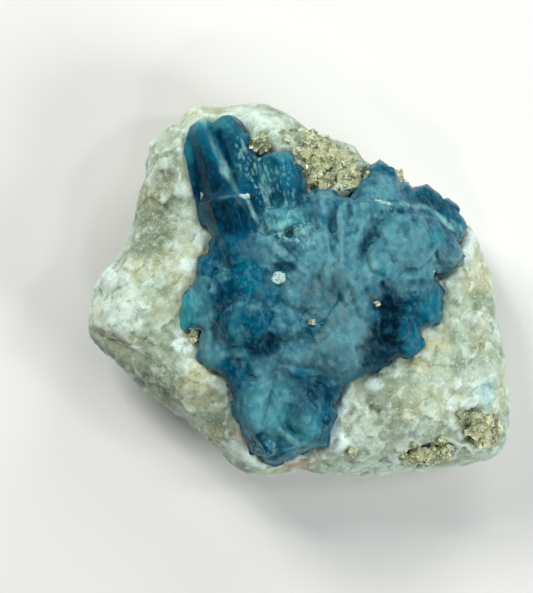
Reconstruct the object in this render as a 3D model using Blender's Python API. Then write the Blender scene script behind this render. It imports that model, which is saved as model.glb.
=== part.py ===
# An afghanite crystal cluster grown in white marble, with nests of pyrite.
# The loose stone lies on its back with the crystals up. Metres, +Z up.
# The origin is on the resting plane, under the middle of the stone.

import math
import random

import bmesh
import bpy
from mathutils import Matrix, Vector, noise
from mathutils.bvhtree import BVHTree

# Driving dimensions. A chip tier is its lowest and highest slope in degrees and its number of faces.
ROCK_HEIGHT = 0.0105
EDGE_HEIGHT = 0.0058
UNDERSIDE_SINK = 0.0009
TOP_SQUARENESS = 3.6
UNDERSIDE_SQUARENESS = 3.2
ROCK_TRIANGLES = 2050
CLUSTER_TRIANGLES = 3000
BED_TRIANGLES = 2150
BED_GAP = 0.0003
CHIP_DEPTH = (0.35, 0.85)
CHIP_TIERS = [(-64, -40, 9), (-30, -12, 11), (20, 46, 11)]
CHIP_FLATNESS = 0.92
# Lumps and finer lumps of the broken marble: how many to a metre, and their height.
LUMPS = (260, 0.00034)
FINE_LUMPS = (760, 0.00013)

# The stone seen from above, anticlockwise from its right-hand point.
ROCK_OUTLINE = [
    (0.0148, -0.0018), (0.0143, 0.0012), (0.0132, 0.0042), (0.0117, 0.0060), (0.0090, 0.0072),
    (0.0072, 0.0084), (0.0054, 0.0091), (0.0038, 0.0107), (0.0008, 0.0119), (-0.0008, 0.0130),
    (-0.0026, 0.0138), (-0.0040, 0.0141), (-0.0057, 0.0138), (-0.0074, 0.0140), (-0.0086, 0.0136),
    (-0.0098, 0.0124), (-0.0114, 0.0110), (-0.0117, 0.0086), (-0.0124, 0.0068), (-0.0127, 0.0047),
    (-0.0136, 0.0027), (-0.0149, 0.0010), (-0.0158, -0.0005), (-0.0161, -0.0022), (-0.0160, -0.0035),
    (-0.0153, -0.0046), (-0.0139, -0.0055), (-0.0125, -0.0070), (-0.0118, -0.0080), (-0.0100, -0.0091),
    (-0.0083, -0.0102), (-0.0068, -0.0115), (-0.0053, -0.0129), (-0.0038, -0.0140), (-0.0020, -0.0142),
    (-0.0001, -0.0136), (0.0012, -0.0140), (0.0038, -0.0142), (0.0090, -0.0137), (0.0137, -0.0133),
    (0.0150, -0.0128), (0.0156, -0.0117), (0.0160, -0.0102), (0.0158, -0.0083), (0.0151, -0.0035),
]

# Broad swells and hollows of the marble: x, y, reach, height.
SWELLS = [
    (-0.0135, -0.0020, 0.0034, 0.0010), (-0.0112, 0.0050, 0.0022, -0.0007), (-0.0105, 0.0105, 0.0026, 0.0004),
    (-0.0090, -0.0070, 0.0030, 0.0003), (-0.0060, -0.0100, 0.0020, -0.0004), (0.0085, -0.0090, 0.0050, 0.0006),
    (0.0125, -0.0040, 0.0028, -0.0004), (0.0130, -0.0118, 0.0022, 0.0003), (0.0030, 0.0085, 0.0024, -0.0006),
    (-0.0020, 0.0125, 0.0026, 0.0003), (-0.0083, 0.0020, 0.0012, 0.0005), (0.0030, -0.0115, 0.0014, 0.0005),
]

# The root of the crystal mass, buried in the marble, seen from above.
ROOT_OUTLINE = [
    (-0.0070, 0.0030), (-0.0058, 0.0050), (-0.0034, 0.0062), (-0.0010, 0.0064), (0.0015, 0.0062),
    (0.0045, 0.0070), (0.0075, 0.0066), (0.0102, 0.0050), (0.0112, 0.0030), (0.0098, 0.0010),
    (0.0100, -0.0014), (0.0084, -0.0034), (0.0059, -0.0052), (0.0032, -0.0068), (0.0016, -0.0084),
    (0.0012, -0.0108), (-0.0008, -0.0119), (-0.0026, -0.0126), (-0.0038, -0.0108), (-0.0044, -0.0080),
    (-0.0066, -0.0050), (-0.0073, -0.0025), (-0.0071, 0.0005),
]
ROOT_THICKNESS = 0.0028
ROOT_ROUNDING = 0.0006
ROOT_UNDERSIDE_TAPER = 0.80
ROOT_LIFT = -0.0003
ROOT_MIDDLE = (0.0012, -0.0022)

# Leading crystals, each from tip to root. Heights are above the marble there:
# tip (x, y, height), root (x, y, height), radius, length of the point, bluntness of the point.
LYING_PRISMS = [
    ((-0.0076, 0.0127, 0.0004), (-0.0056, 0.0048, 0.0003), 0.00150, 0.0013, 0.64),
    ((-0.0059, 0.0130, 0.0007), (-0.0038, 0.0060, 0.0006), 0.00128, 0.0011, 0.62),
    ((-0.0044, 0.0117, 0.0005), (-0.0028, 0.0060, 0.0005), 0.00092, 0.0007, 0.68),
    ((-0.0084, 0.0113, -0.0001), (-0.0070, 0.0048, -0.0001), 0.00078, 0.0011, 0.52),
    ((-0.0067, 0.0124, -0.0003), (-0.0046, 0.0054, -0.0003), 0.00120, 0.0006, 0.70),
    ((-0.0051, 0.0121, -0.0002), (-0.0032, 0.0060, -0.0002), 0.00095, 0.0006, 0.70),
    ((-0.0059, 0.0071, 0.0007), (-0.0043, 0.0020, 0.0005), 0.00188, 0.0004, 0.84),
    ((-0.0038, 0.0068, 0.0009), (-0.0026, 0.0036, 0.0009), 0.00068, 0.0003, 0.75),
    ((-0.0018, 0.0102, 0.0013), (-0.0011, 0.0060, 0.0011), 0.00160, 0.0004, 0.82),
    ((-0.0031, 0.0098, 0.0010), (-0.0024, 0.0062, 0.0009), 0.00080, 0.0003, 0.78),
    ((-0.0006, 0.0093, 0.0008), (0.0000, 0.0062, 0.0008), 0.00072, 0.0004, 0.70),
]
STEPPED_CRYSTALS = [
    ((-0.0023, 0.0061, 0.0012), (-0.0014, 0.0030, 0.0003), 0.00140, 0.0004, 0.80),
    ((-0.0006, 0.0062, 0.0013), (0.0002, 0.0032, 0.0004), 0.00120, 0.0005, 0.72),
    ((0.0000, 0.0048, 0.0020), (0.0005, 0.0022, 0.0009), 0.00098, 0.0003, 0.80),
    ((0.0015, 0.0075, 0.0013), (0.0020, 0.0020, 0.0008), 0.00145, 0.0008, 0.66),
    ((0.0029, 0.0068, 0.0014), (0.0032, 0.0014, 0.0010), 0.00135, 0.0006, 0.68),
    ((0.0044, 0.0069, 0.0014), (0.0040, 0.0014, 0.0011), 0.00135, 0.0007, 0.62),
]
HORN_AND_RIM = [
    ((0.0059, 0.0099, 0.0022), (0.0061, 0.0036, 0.0006), 0.00215, 0.0046, 0.55),
    ((0.0049, 0.0084, 0.0012), (0.0046, 0.0036, 0.0008), 0.00130, 0.0018, 0.55),
    ((0.0076, 0.0080, 0.0010), (0.0074, 0.0036, 0.0006), 0.00140, 0.0012, 0.60),
    ((0.0095, 0.0074, 0.0008), (0.0083, 0.0030, 0.0006), 0.00140, 0.0010, 0.65),
    ((0.0111, 0.0065, 0.0006), (0.0094, 0.0028, 0.0004), 0.00130, 0.0010, 0.65),
    ((0.0121, 0.0052, 0.0003), (0.0100, 0.0024, 0.0002), 0.00115, 0.0010, 0.60),
    ((0.0078, 0.0040, 0.0027), (0.0076, 0.0031, -0.0010), 0.00235, 0.0007, 0.76),
    ((0.0110, 0.0030, 0.0019), (0.0101, 0.0021, -0.0008), 0.00155, 0.0006, 0.72),
    ((0.0085, 0.0009, 0.0020), (0.0080, 0.0003, -0.0010), 0.00165, 0.0006, 0.72),
    ((0.0060, 0.0018, 0.0019), (0.0060, 0.0010, -0.0010), 0.00140, 0.0005, 0.76),
]
BOTTOM_CRYSTALS = [
    ((-0.0029, -0.0084, 0.0024), (-0.0024, -0.0078, -0.0010), 0.00175, 0.0006, 0.76),
    ((-0.0022, -0.0101, 0.0021), (-0.0018, -0.0094, -0.0010), 0.00130, 0.0005, 0.72),
    ((-0.0006, -0.0083, 0.0021), (-0.0003, -0.0078, -0.0010), 0.00125, 0.0006, 0.68),
    ((0.0004, -0.0108, 0.0020), (0.0003, -0.0094, -0.0008), 0.00140, 0.0005, 0.76),
]
SIDE_CRYSTAL = ((-0.0083, 0.0001, 0.0002), (-0.0083, -0.0030, 0.0000), 0.00105, 0.0016, 0.50)

# Rounded crystal ends along the border of the mass: x, y, height, radius.
BORDER_CRYSTALS = [
    (0.0097, -0.0012, 0.0016, 0.00140), (0.0102, -0.0002, 0.0014, 0.00100), (0.0083, -0.0039, 0.0012, 0.00108),
    (0.0072, -0.0042, 0.0015, 0.00100), (0.0060, -0.0051, 0.0014, 0.00112), (0.0045, -0.0057, 0.0012, 0.00095),
    (0.0035, -0.0066, 0.0012, 0.00092), (0.0025, -0.0072, 0.0012, 0.00082), (0.0016, -0.0084, 0.0014, 0.00100),
    (0.0013, -0.0101, 0.0015, 0.00112), (0.0009, -0.0114, 0.0013, 0.00105), (-0.0003, -0.0119, 0.0013, 0.00095),
    (-0.0014, -0.0124, 0.0011, 0.00095), (-0.0023, -0.0131, 0.0009, 0.00085), (-0.0031, -0.0121, 0.0010, 0.00092),
    (-0.0038, -0.0109, 0.0011, 0.00092), (-0.0043, -0.0097, 0.0013, 0.00100), (-0.0044, -0.0082, 0.0015, 0.00100),
    (-0.0052, -0.0069, 0.0013, 0.00095), (-0.0063, -0.0057, 0.0012, 0.00090), (-0.0073, -0.0051, 0.0011, 0.00082),
    (-0.0073, -0.0038, 0.0012, 0.00078), (-0.0074, -0.0022, 0.0013, 0.00085), (-0.0075, -0.0007, 0.0012, 0.00080),
    (-0.0076, 0.0005, 0.0011, 0.00075), (-0.0073, 0.0021, 0.0012, 0.00085), (-0.0066, 0.0036, 0.0009, 0.00070),
]
BORDER_LEAN = math.radians(20)
BORDER_DEPTH = 0.0013
BORDER_POINT = (0.0006, 0.68)
# The border crystals run on inward: each is this much wider than its end shows, and set back as far.
BORDER_SETBACK = 0.00040
# How wide the buried end of a crystal is, as a share of its width.
ROOT_END = 0.85
# How far each corner of a crystal lies from its axis, as a share of its radius.
CORNER_JITTER = (0.82, 1.12)

# The body of the mass is a close mosaic of short upright crystals with nearly flat ends.
MOSAIC_SPACING = 0.0027
MOSAIC_JITTER = 0.0004
MOSAIC_RADIUS = (0.00170, 0.0023)
MOSAIC_HEIGHT = (0.0018, 0.0025)
MOSAIC_LEAN = math.radians(14)
MOSAIC_DEPTH = 0.0006
MOSAIC_POINT = (0.0004, 0.84)
MOSAIC_MARGIN = 0.0013
MOSAIC_TOP = 0.0040

# Pyrite nests: name, centre, half-lengths, turn, number of cubes, size of the cubes.
PYRITE_NESTS = [
    ("pyrite_corner_nest", (0.0136, -0.0105), (0.00125, 0.00105), 0.4, 10, 0.00084),
    ("pyrite_lower_band", (0.0093, -0.0125), (0.00190, 0.00062), 0.12, 9, 0.00078),
    ("pyrite_peak_grain", (-0.0031, 0.0108), (0.00055, 0.00075), 0.5, 5, 0.00072),
    ("pyrite_rim_grain", (0.0075, 0.0082), (0.00050, 0.00090), 0.6, 3, 0.00080),
    ("pyrite_side_grain", (-0.0081, -0.0036), (0.00045, 0.00035), 0.0, 3, 0.00052),
]
NEST_THICKNESS = 0.0004
NEST_SINK = 0.0002
# Each cube of a nest lies this many radians round from the last, so that they spread evenly.
NEST_TURN = 2.4
NEST_SPREAD = 0.85
CUBE_RISE = 0.0001
CUBE_SIZES = (0.7, 1.15)
DRUSE_OUTLINE = [
    (-0.0013, 0.0117), (0.0006, 0.0116), (0.0022, 0.0106), (0.0037, 0.0096), (0.0046, 0.0086),
    (0.0036, 0.0079), (0.0020, 0.0078), (0.0008, 0.0080), (0.0001, 0.0096),
]
DRUSE_CENTRE = (0.0016, 0.0096)
DRUSE_REACH = 0.0014
DRUSE_SINK = 0.0001
DRUSE_SPACING = 0.00088
DRUSE_JITTER = 0.0002
DRUSE_MARGIN = 0.0003
DRUSE_CUBE = (0.00062, 0.00105)
DRUSE_THICKNESS = 0.0012
DRUSE_ROUNDING = 0.0002
PYRITE_SPECKS = [
    ("pyrite_speck_centre", (0.0008, -0.0024), 0.00042),
    ("pyrite_speck_right", (0.0056, -0.0011), 0.00040),
    ("pyrite_speck_marble", (0.0055, -0.0087), 0.00036),
    ("pyrite_speck_lower", (0.0038, -0.0122), 0.00055),
    ("pyrite_speck_low_right", (0.0120, -0.0094), 0.00050),
]

# Calcite left on the crystals: name, centre, half-lengths, turn. Its unevenness is a share of its size.
GRAIN_UNEVENNESS = 0.18
CALCITE_GRAINS = [
    ("calcite_ridge_sliver", (0.0061, 0.0064), (0.00085, 0.00030, 0.00035), -0.35),
    ("calcite_centre_grain", (-0.0017, 0.0008), (0.00062, 0.00055, 0.00045), 0.6),
    ("calcite_cleft_grain", (-0.0043, 0.0068), (0.00070, 0.00036, 0.00035), 0.1),
]


def clear_scene():
    for obj in list(bpy.data.objects):
        bpy.data.objects.remove(obj, do_unlink=True)


def new_collection(name):
    collection = bpy.data.collections.new(name)
    bpy.context.scene.collection.children.link(collection)
    return collection


def principled(name, colour, roughness, metallic=0.0):
    material = bpy.data.materials.new(name)
    material.use_nodes = True
    shader = material.node_tree.nodes["Principled BSDF"]
    shader.inputs["Base Color"].default_value = (*colour, 1.0)
    shader.inputs["Roughness"].default_value = roughness
    shader.inputs["Metallic"].default_value = metallic
    return material


def object_from(bm, name, collection):
    mesh = bpy.data.meshes.new(name)
    bm.to_mesh(mesh)
    bm.free()
    obj = bpy.data.objects.new(name, mesh)
    collection.objects.link(obj)
    return obj


def make_helper(obj):
    obj.hide_render = True
    obj.display_type = "WIRE"
    return obj


def evaluated_mesh(obj):
    graph = bpy.context.evaluated_depsgraph_get()
    return bpy.data.meshes.new_from_object(obj.evaluated_get(graph))


def apply_boolean(obj, operation, collection):
    """Joins or cuts an object with every object of a collection."""
    modifier = obj.modifiers.new(operation.lower(), "BOOLEAN")
    modifier.operation = operation
    modifier.solver = "EXACT"
    modifier.operand_type = "COLLECTION"
    modifier.collection = collection
    bpy.context.view_layer.update()
    obj.data = evaluated_mesh(obj)
    obj.modifiers.clear()
    keep_largest_body(obj.data)


def simplify(obj, triangles):
    """Merges the slivers that Booleans leave, down to about this many triangles."""
    count = sum(len(polygon.vertices) - 2 for polygon in obj.data.polygons)
    split = obj.modifiers.new("split", "TRIANGULATE")
    split.quad_method = "BEAUTY"
    decimate = obj.modifiers.new("facets", "DECIMATE")
    decimate.ratio = min(1.0, triangles / count)
    bpy.context.view_layer.update()
    obj.data = evaluated_mesh(obj)
    obj.modifiers.clear()


def keep_largest_body(mesh):
    """Drops the crumbs that a Boolean leaves between two beds."""
    bm = bmesh.new()
    bm.from_mesh(mesh)
    unseen = set(bm.verts)
    bodies = []
    while unseen:
        front = [unseen.pop()]
        body = set(front)
        while front:
            for edge in front.pop().link_edges:
                for vert in edge.verts:
                    if vert in unseen:
                        unseen.discard(vert)
                        body.add(vert)
                        front.append(vert)
        bodies.append(body)
    bodies.sort(key=len, reverse=True)
    crumbs = [vert for body in bodies[1:] for vert in body]
    bmesh.ops.delete(bm, geom=crumbs, context="VERTS")
    bm.to_mesh(mesh)
    bm.free()


def inside(outline, x, y):
    within = False
    for (ax, ay), (bx, by) in zip(outline, outline[1:] + outline[:1]):
        if (ay > y) != (by > y) and x < ax + (y - ay) * (bx - ax) / (by - ay):
            within = not within
    return within


def distance_to_outline(outline, x, y):
    nearest = math.inf
    point = Vector((x, y))
    for a, b in zip(outline, outline[1:] + outline[:1]):
        start, side = Vector(a), Vector(b) - Vector(a)
        share = max(0.0, min(1.0, (point - start).dot(side) / side.length_squared))
        nearest = min(nearest, (point - start - side * share).length)
    return nearest


def outline_radius(angle):
    """Distance from the origin to the stone's outline in one direction."""
    direction = Vector((math.cos(angle), math.sin(angle)))
    furthest = 0.0
    for a, b in zip(ROCK_OUTLINE, ROCK_OUTLINE[1:] + ROCK_OUTLINE[:1]):
        start, side = Vector(a), Vector(b) - Vector(a)
        turn = direction.x * side.y - direction.y * side.x
        if abs(turn) < 1e-12:
            continue
        along = (start.x * side.y - start.y * side.x) / turn
        share = (start.x * direction.y - start.y * direction.x) / turn
        if along > 0 and -1e-9 <= share <= 1 + 1e-9:
            furthest = max(furthest, along)
    return furthest


def top_height(x, y):
    height = ROCK_HEIGHT
    for swell_x, swell_y, reach, rise in SWELLS:
        square = ((x - swell_x) ** 2 + (y - swell_y) ** 2) / reach**2
        height += rise * math.exp(-square)
    return height


def rock_point(direction):
    """Where one point of a unit ball goes on the stone."""
    level = math.hypot(direction.x, direction.y)
    angle = math.atan2(direction.y, direction.x)
    upper = direction.z > 0
    power = 2 / (TOP_SQUARENESS if upper else UNDERSIDE_SQUARENESS)
    reach = outline_radius(angle) * level**power
    rise = abs(direction.z) ** power
    x, y = reach * math.cos(angle), reach * math.sin(angle)
    if upper:
        z = EDGE_HEIGHT + (top_height(x, y) - EDGE_HEIGHT) * rise
    else:
        z = EDGE_HEIGHT - (EDGE_HEIGHT + UNDERSIDE_SINK) * rise
    return Vector((x, y, z))


def roughness_at(point):
    """Lumps of about 4 mm with smaller ones of about 1.5 mm on them."""
    broad = noise.fractal(point * LUMPS[0], 1.0, 2.0, 2)
    fine = noise.fractal(point * FINE_LUMPS[0] + Vector((7, 3, 5)), 0.9, 2.1, 2)
    return LUMPS[1] * broad + FINE_LUMPS[1] * fine


def chip_planes(seed=11):
    """Broken faces: an outward normal and the share of the rounded shoulder that is broken off."""
    picker = random.Random(seed)
    planes = []
    for tier, (lowest, highest, count) in enumerate(CHIP_TIERS):
        for number in range(count):
            turn = 2 * math.pi * (number + 0.4 * tier + picker.uniform(0, 0.6)) / count
            lift = math.radians(picker.uniform(lowest, highest))
            normal = Vector((math.cos(turn) * math.cos(lift), math.sin(turn) * math.cos(lift), math.sin(lift)))
            planes.append((normal, picker.uniform(*CHIP_DEPTH)))
    return planes


def chip(points):
    """Flattens the shoulders onto the broken faces, but never past the outline seen from above."""
    for normal, share in chip_planes():
        shoulder = max(point.dot(normal) for point in points)
        edge = max(Vector((x, y, EDGE_HEIGHT)).dot(normal) for x, y in ROCK_OUTLINE)
        limit = shoulder + (edge - shoulder) * share
        for point in points:
            over = point.dot(normal) - limit
            if over > 0:
                point -= normal * over * CHIP_FLATNESS


def make_rock(collection):
    """The marble before its beds and its resting face are cut: a shaped ball, chipped and roughened."""
    bpy.ops.mesh.primitive_ico_sphere_add(subdivisions=6, radius=1.0)
    rock = bpy.context.active_object
    rock.name = "matrix_uncut"
    for owner in list(rock.users_collection):
        owner.objects.unlink(rock)
    collection.objects.link(rock)
    points = [rock_point(vertex.co.normalized()) for vertex in rock.data.vertices]
    chip(points)
    for vertex, point in zip(rock.data.vertices, points):
        vertex.co = point + vertex.normal * roughness_at(point)
    simplify(rock, ROCK_TRIANGLES)
    return rock


def cut_flat_base(rock):
    bm = bmesh.new()
    bm.from_mesh(rock.data)
    everything = bm.verts[:] + bm.edges[:] + bm.faces[:]
    cut = bmesh.ops.bisect_plane(bm, geom=everything, plane_co=(0, 0, 0), plane_no=(0, 0, -1), clear_outer=True)
    rim = [item for item in cut["geom_cut"] if isinstance(item, bmesh.types.BMEdge)]
    bmesh.ops.contextual_create(bm, geom=rim)
    bmesh.ops.recalc_face_normals(bm, faces=bm.faces)
    bm.to_mesh(rock.data)
    bm.free()


class Ground:
    """Finds the surface of one or more objects under a point."""

    def __init__(self, objects):
        bm = bmesh.new()
        for obj in objects:
            bm.from_mesh(obj.data)
        self.tree = BVHTree.FromBMesh(bm)
        bm.free()

    def height(self, x, y):
        hit = self.tree.ray_cast(Vector((x, y, 0.1)), Vector((0, 0, -1)))[0]
        return hit.z if hit else EDGE_HEIGHT

    def slope(self, x, y, reach):
        """The surface's normal, taken over a small square."""
        across = Vector((2 * reach, 0, self.height(x + reach, y) - self.height(x - reach, y)))
        along = Vector((0, 2 * reach, self.height(x, y + reach) - self.height(x, y - reach)))
        return across.cross(along).normalized()

    def above(self, place):
        return Vector((place[0], place[1], self.height(place[0], place[1]) + place[2]))


def six_sided(tip, root, radius, point, bluntness, seed, grow=0.0):
    """A six-sided crystal from root to tip, with a two-step point. grow adds that much all round."""
    picker = random.Random(seed)
    corner_share = [picker.uniform(*CORNER_JITTER) for _ in range(6)]
    spin = picker.uniform(0, math.pi / 3)
    axis = tip - root
    length = axis.length + 2 * grow
    rings = {
        2: (length, 0.0),
        1: (length - 0.30 * point, bluntness),
        0: (length - point, 1.0),
        -1: (0.0, ROOT_END),
        -2: (-0.0002, 0.0),
    }
    bm = bmesh.new()
    bmesh.ops.create_uvsphere(bm, u_segments=6, v_segments=4, radius=1.0)
    heights = sorted({round(vert.co.z, 4) for vert in bm.verts}, reverse=True)
    level_of = dict(zip(heights, sorted(rings, reverse=True)))
    for vert in bm.verts:
        height, share = rings[level_of[round(vert.co.z, 4)]]
        angle = math.atan2(vert.co.y, vert.co.x)
        corner = corner_share[round(angle / (math.pi / 3)) % 6]
        reach = (radius * corner + grow) * share
        vert.co = Vector((reach * math.cos(angle + spin), reach * math.sin(angle + spin), height))
    place = Matrix.Translation(root - axis.normalized() * grow)
    bm.transform(place @ axis.to_track_quat("Z", "Y").to_matrix().to_4x4())
    bmesh.ops.recalc_face_normals(bm, faces=bm.faces)
    return bm


def leaning(ground, x, y, height, toward, lean, depth):
    """Tip and root of a short crystal that stands on the marble and leans."""
    tip = ground.above((x, y, height))
    way = Vector((math.cos(toward) * math.sin(lean), math.sin(toward) * math.sin(lean), math.cos(lean)))
    return tip, tip - way * (height + depth)


def mosaic_places(seed=5):
    """Points of a jittered triangular grid inside the root's outline."""
    picker = random.Random(seed)
    places = []
    row_step = MOSAIC_SPACING * math.sqrt(3) / 2
    for row in range(-8, 7):
        for column in range(-8, 8):
            x = (column + 0.5 * (row % 2)) * MOSAIC_SPACING + picker.uniform(-MOSAIC_JITTER, MOSAIC_JITTER)
            y = row * row_step + picker.uniform(-MOSAIC_JITTER, MOSAIC_JITTER)
            roomy = distance_to_outline(ROOT_OUTLINE, x, y) > MOSAIC_MARGIN
            if inside(ROOT_OUTLINE, x, y) and roomy and y < MOSAIC_TOP:
                places.append((x, y))
    return places


def crystal_shapes(ground, with_mosaic=True):
    """The crystals of the cluster as the arguments of six_sided."""
    shapes = []
    leading = LYING_PRISMS + STEPPED_CRYSTALS + HORN_AND_RIM + BOTTOM_CRYSTALS + [SIDE_CRYSTAL]
    for tip, root, radius, point, bluntness in leading:
        shapes.append((ground.above(tip), ground.above(root), radius, point, bluntness))
    for x, y, height, radius in BORDER_CRYSTALS:
        outward = math.atan2(y - ROOT_MIDDLE[1], x - ROOT_MIDDLE[0])
        x -= BORDER_SETBACK * math.cos(outward)
        y -= BORDER_SETBACK * math.sin(outward)
        tip, root = leaning(ground, x, y, height, outward, BORDER_LEAN, BORDER_DEPTH)
        shapes.append((tip, root, radius + BORDER_SETBACK, *BORDER_POINT))
    picker = random.Random(23)
    for x, y in mosaic_places() if with_mosaic else []:
        height = picker.uniform(*MOSAIC_HEIGHT)
        lean = picker.uniform(0, MOSAIC_LEAN)
        tip, root = leaning(ground, x, y, height, picker.uniform(0, 2 * math.pi), lean, MOSAIC_DEPTH)
        radius = min(picker.uniform(*MOSAIC_RADIUS), distance_to_outline(ROOT_OUTLINE, x, y))
        shapes.append((tip, root, radius, *MOSAIC_POINT))
    return shapes


def outline_slab(name, outline, thickness, rounding, collection, grow=0.0):
    """A slab with a rounded edge from an outline seen from above, centred on z = 0."""
    curve = bpy.data.curves.new(name, "CURVE")
    curve.dimensions = "2D"
    curve.fill_mode = "BOTH"
    curve.extrude = thickness / 2 - rounding + grow
    curve.bevel_depth = rounding
    curve.bevel_resolution = 1
    curve.offset = grow - rounding
    spline = curve.splines.new("POLY")
    spline.points.add(len(outline) - 1)
    for point, (x, y) in zip(spline.points, outline):
        point.co = (x, y, 0, 1)
    spline.use_cyclic_u = True
    drawn = bpy.data.objects.new(name + "_drawn", curve)
    collection.objects.link(drawn)
    bpy.context.view_layer.update()
    mesh = evaluated_mesh(drawn)
    bpy.data.objects.remove(drawn)
    bm = bmesh.new()
    bm.from_mesh(mesh)
    bmesh.ops.remove_doubles(bm, verts=bm.verts, dist=1e-6)
    bmesh.ops.recalc_face_normals(bm, faces=bm.faces)
    return bm


def root_slab(ground, collection, grow=0.0):
    """The buried root: a slab whose underside draws in."""
    bm = outline_slab("root", ROOT_OUTLINE, ROOT_THICKNESS, ROOT_ROUNDING, collection, grow)
    x, y = ROOT_MIDDLE
    for vert in bm.verts:
        if vert.co.z < 0:
            vert.co.x = x + (vert.co.x - x) * ROOT_UNDERSIDE_TAPER
            vert.co.y = y + (vert.co.y - y) * ROOT_UNDERSIDE_TAPER
    bm.transform(Matrix.Translation((0, 0, ground.height(x, y) + ROOT_LIFT)))
    return bm


def make_cluster(name, ground, parts, helpers, with_mosaic=True, grow=0.0):
    """The intergrown crystals as one solid. The mosaic lies wholly over the root, so a bed leaves it out."""
    shapes = new_collection(name + "_crystals")
    for number, shape in enumerate(crystal_shapes(ground, with_mosaic)):
        crystal = six_sided(*shape, seed=number, grow=grow)
        make_helper(object_from(crystal, f"{name}_crystal_{number}", shapes))
    cluster = object_from(root_slab(ground, helpers, grow), name, parts)
    apply_boolean(cluster, "UNION", shapes)
    simplify(cluster, BED_TRIANGLES if grow else CLUSTER_TRIANGLES)
    return cluster


def add_cube(bm, place, size, turn):
    bmesh.ops.create_cube(bm, size=size, matrix=Matrix.Translation(place) @ turn.to_4x4())


def random_turn(picker):
    axis = Vector((picker.gauss(0, 1), picker.gauss(0, 1), picker.gauss(0, 1))).normalized()
    return Matrix.Rotation(picker.uniform(0.3, 1.2), 3, axis)


def joined(name, base, others, parts):
    """One solid from a base shape and a list of others that meet it."""
    pieces = new_collection(name + "_pieces")
    for number, other in enumerate(others):
        make_helper(object_from(other, f"{name}_piece_{number}", pieces))
    obj = object_from(base, name, parts)
    apply_boolean(obj, "UNION", pieces)
    return obj


def nest(name, surface, centre, half, turn, count, size, parts, grow=0.0):
    """A lens of pyrite with cubes standing in it."""
    picker = random.Random(round(1e6 * (centre[0] + 3 * centre[1])))
    normal = surface.slope(*centre, max(half))
    seat = surface.above((*centre, 0.0)) - normal * NEST_SINK
    stance = Matrix.Translation(seat) @ normal.to_track_quat("Z", "Y").to_matrix().to_4x4()
    stance = stance @ Matrix.Rotation(turn, 4, "Z")
    lens = bmesh.new()
    bmesh.ops.create_icosphere(lens, subdivisions=1, radius=1.0)
    lens_size = (half[0] + grow, half[1] + grow, NEST_THICKNESS + grow)
    lens.transform(stance @ Matrix.Diagonal((*lens_size, 1.0)))
    cubes = []
    for number in range(count):
        angle = number * NEST_TURN + picker.uniform(-0.3, 0.3)
        reach = NEST_SPREAD * math.sqrt((number + 0.4) / count)
        place = Vector((reach * half[0] * math.cos(angle), reach * half[1] * math.sin(angle), CUBE_RISE))
        cube = bmesh.new()
        add_cube(cube, Vector(), size * picker.uniform(*CUBE_SIZES) + 2 * grow, random_turn(picker))
        cube.transform(stance @ Matrix.Translation(place))
        cubes.append(cube)
    return joined(name, lens, cubes, parts)


def druse(name, surface, parts, helpers, grow=0.0):
    """The crust of pyrite cubes in the shallow hollow at the top of the stone."""
    picker = random.Random(41)
    normal = surface.slope(*DRUSE_CENTRE, DRUSE_REACH)
    seat = surface.above((*DRUSE_CENTRE, -DRUSE_THICKNESS / 2 - DRUSE_SINK))
    shear = Matrix.Identity(4)
    shear[2][0], shear[2][1] = -normal.x / normal.z, -normal.y / normal.z
    stance = Matrix.Translation(seat) @ shear @ Matrix.Translation((-seat.x, -seat.y, 0))
    crust = outline_slab(name, DRUSE_OUTLINE, DRUSE_THICKNESS, DRUSE_ROUNDING, helpers, grow)
    crust.transform(stance)
    cubes = []
    left, low = min(x for x, y in DRUSE_OUTLINE), min(y for x, y in DRUSE_OUTLINE)
    for row in range(7):
        for column in range(9):
            x = left + (column + 0.5 * (row % 2)) * DRUSE_SPACING + picker.uniform(-DRUSE_JITTER, DRUSE_JITTER)
            y = low + row * DRUSE_SPACING * math.sqrt(3) / 2 + picker.uniform(-DRUSE_JITTER, DRUSE_JITTER)
            size = picker.uniform(*DRUSE_CUBE)
            turn = random_turn(picker)
            rise = DRUSE_THICKNESS / 2 + picker.uniform(-DRUSE_JITTER, DRUSE_JITTER / 2)
            if not inside(DRUSE_OUTLINE, x, y) or distance_to_outline(DRUSE_OUTLINE, x, y) < DRUSE_MARGIN:
                continue
            cube = bmesh.new()
            add_cube(cube, stance @ Vector((x, y, rise)), size + 2 * grow, turn)
            cubes.append(cube)
    return joined(name, crust, cubes, parts)


def grain(name, surface, centre, half, turn, parts, grow=0.0, seed=0):
    """A small lump, part-way sunk in what carries it."""
    seat = surface.above((*centre, 0.0))
    bm = bmesh.new()
    bmesh.ops.create_icosphere(bm, subdivisions=1, radius=1.0)
    for vert in bm.verts:
        vert.co *= 1 + GRAIN_UNEVENNESS * noise.noise(vert.co * 1.7 + Vector((seed, 0, 0)))
    size = [length + grow for length in half]
    bm.transform(Matrix.Translation(seat) @ Matrix.Rotation(turn, 4, "Z") @ Matrix.Diagonal((*size, 1.0)))
    return object_from(bm, name, parts)


def speck(name, surface, centre, size, parts, grow=0.0):
    """One pyrite cube, sunk to its middle."""
    picker = random.Random(round(1e6 * (centre[0] + 3 * centre[1])))
    bm = bmesh.new()
    add_cube(bm, surface.above((*centre, 0.0)), size + 2 * grow, random_turn(picker))
    return object_from(bm, name, parts)


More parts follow.
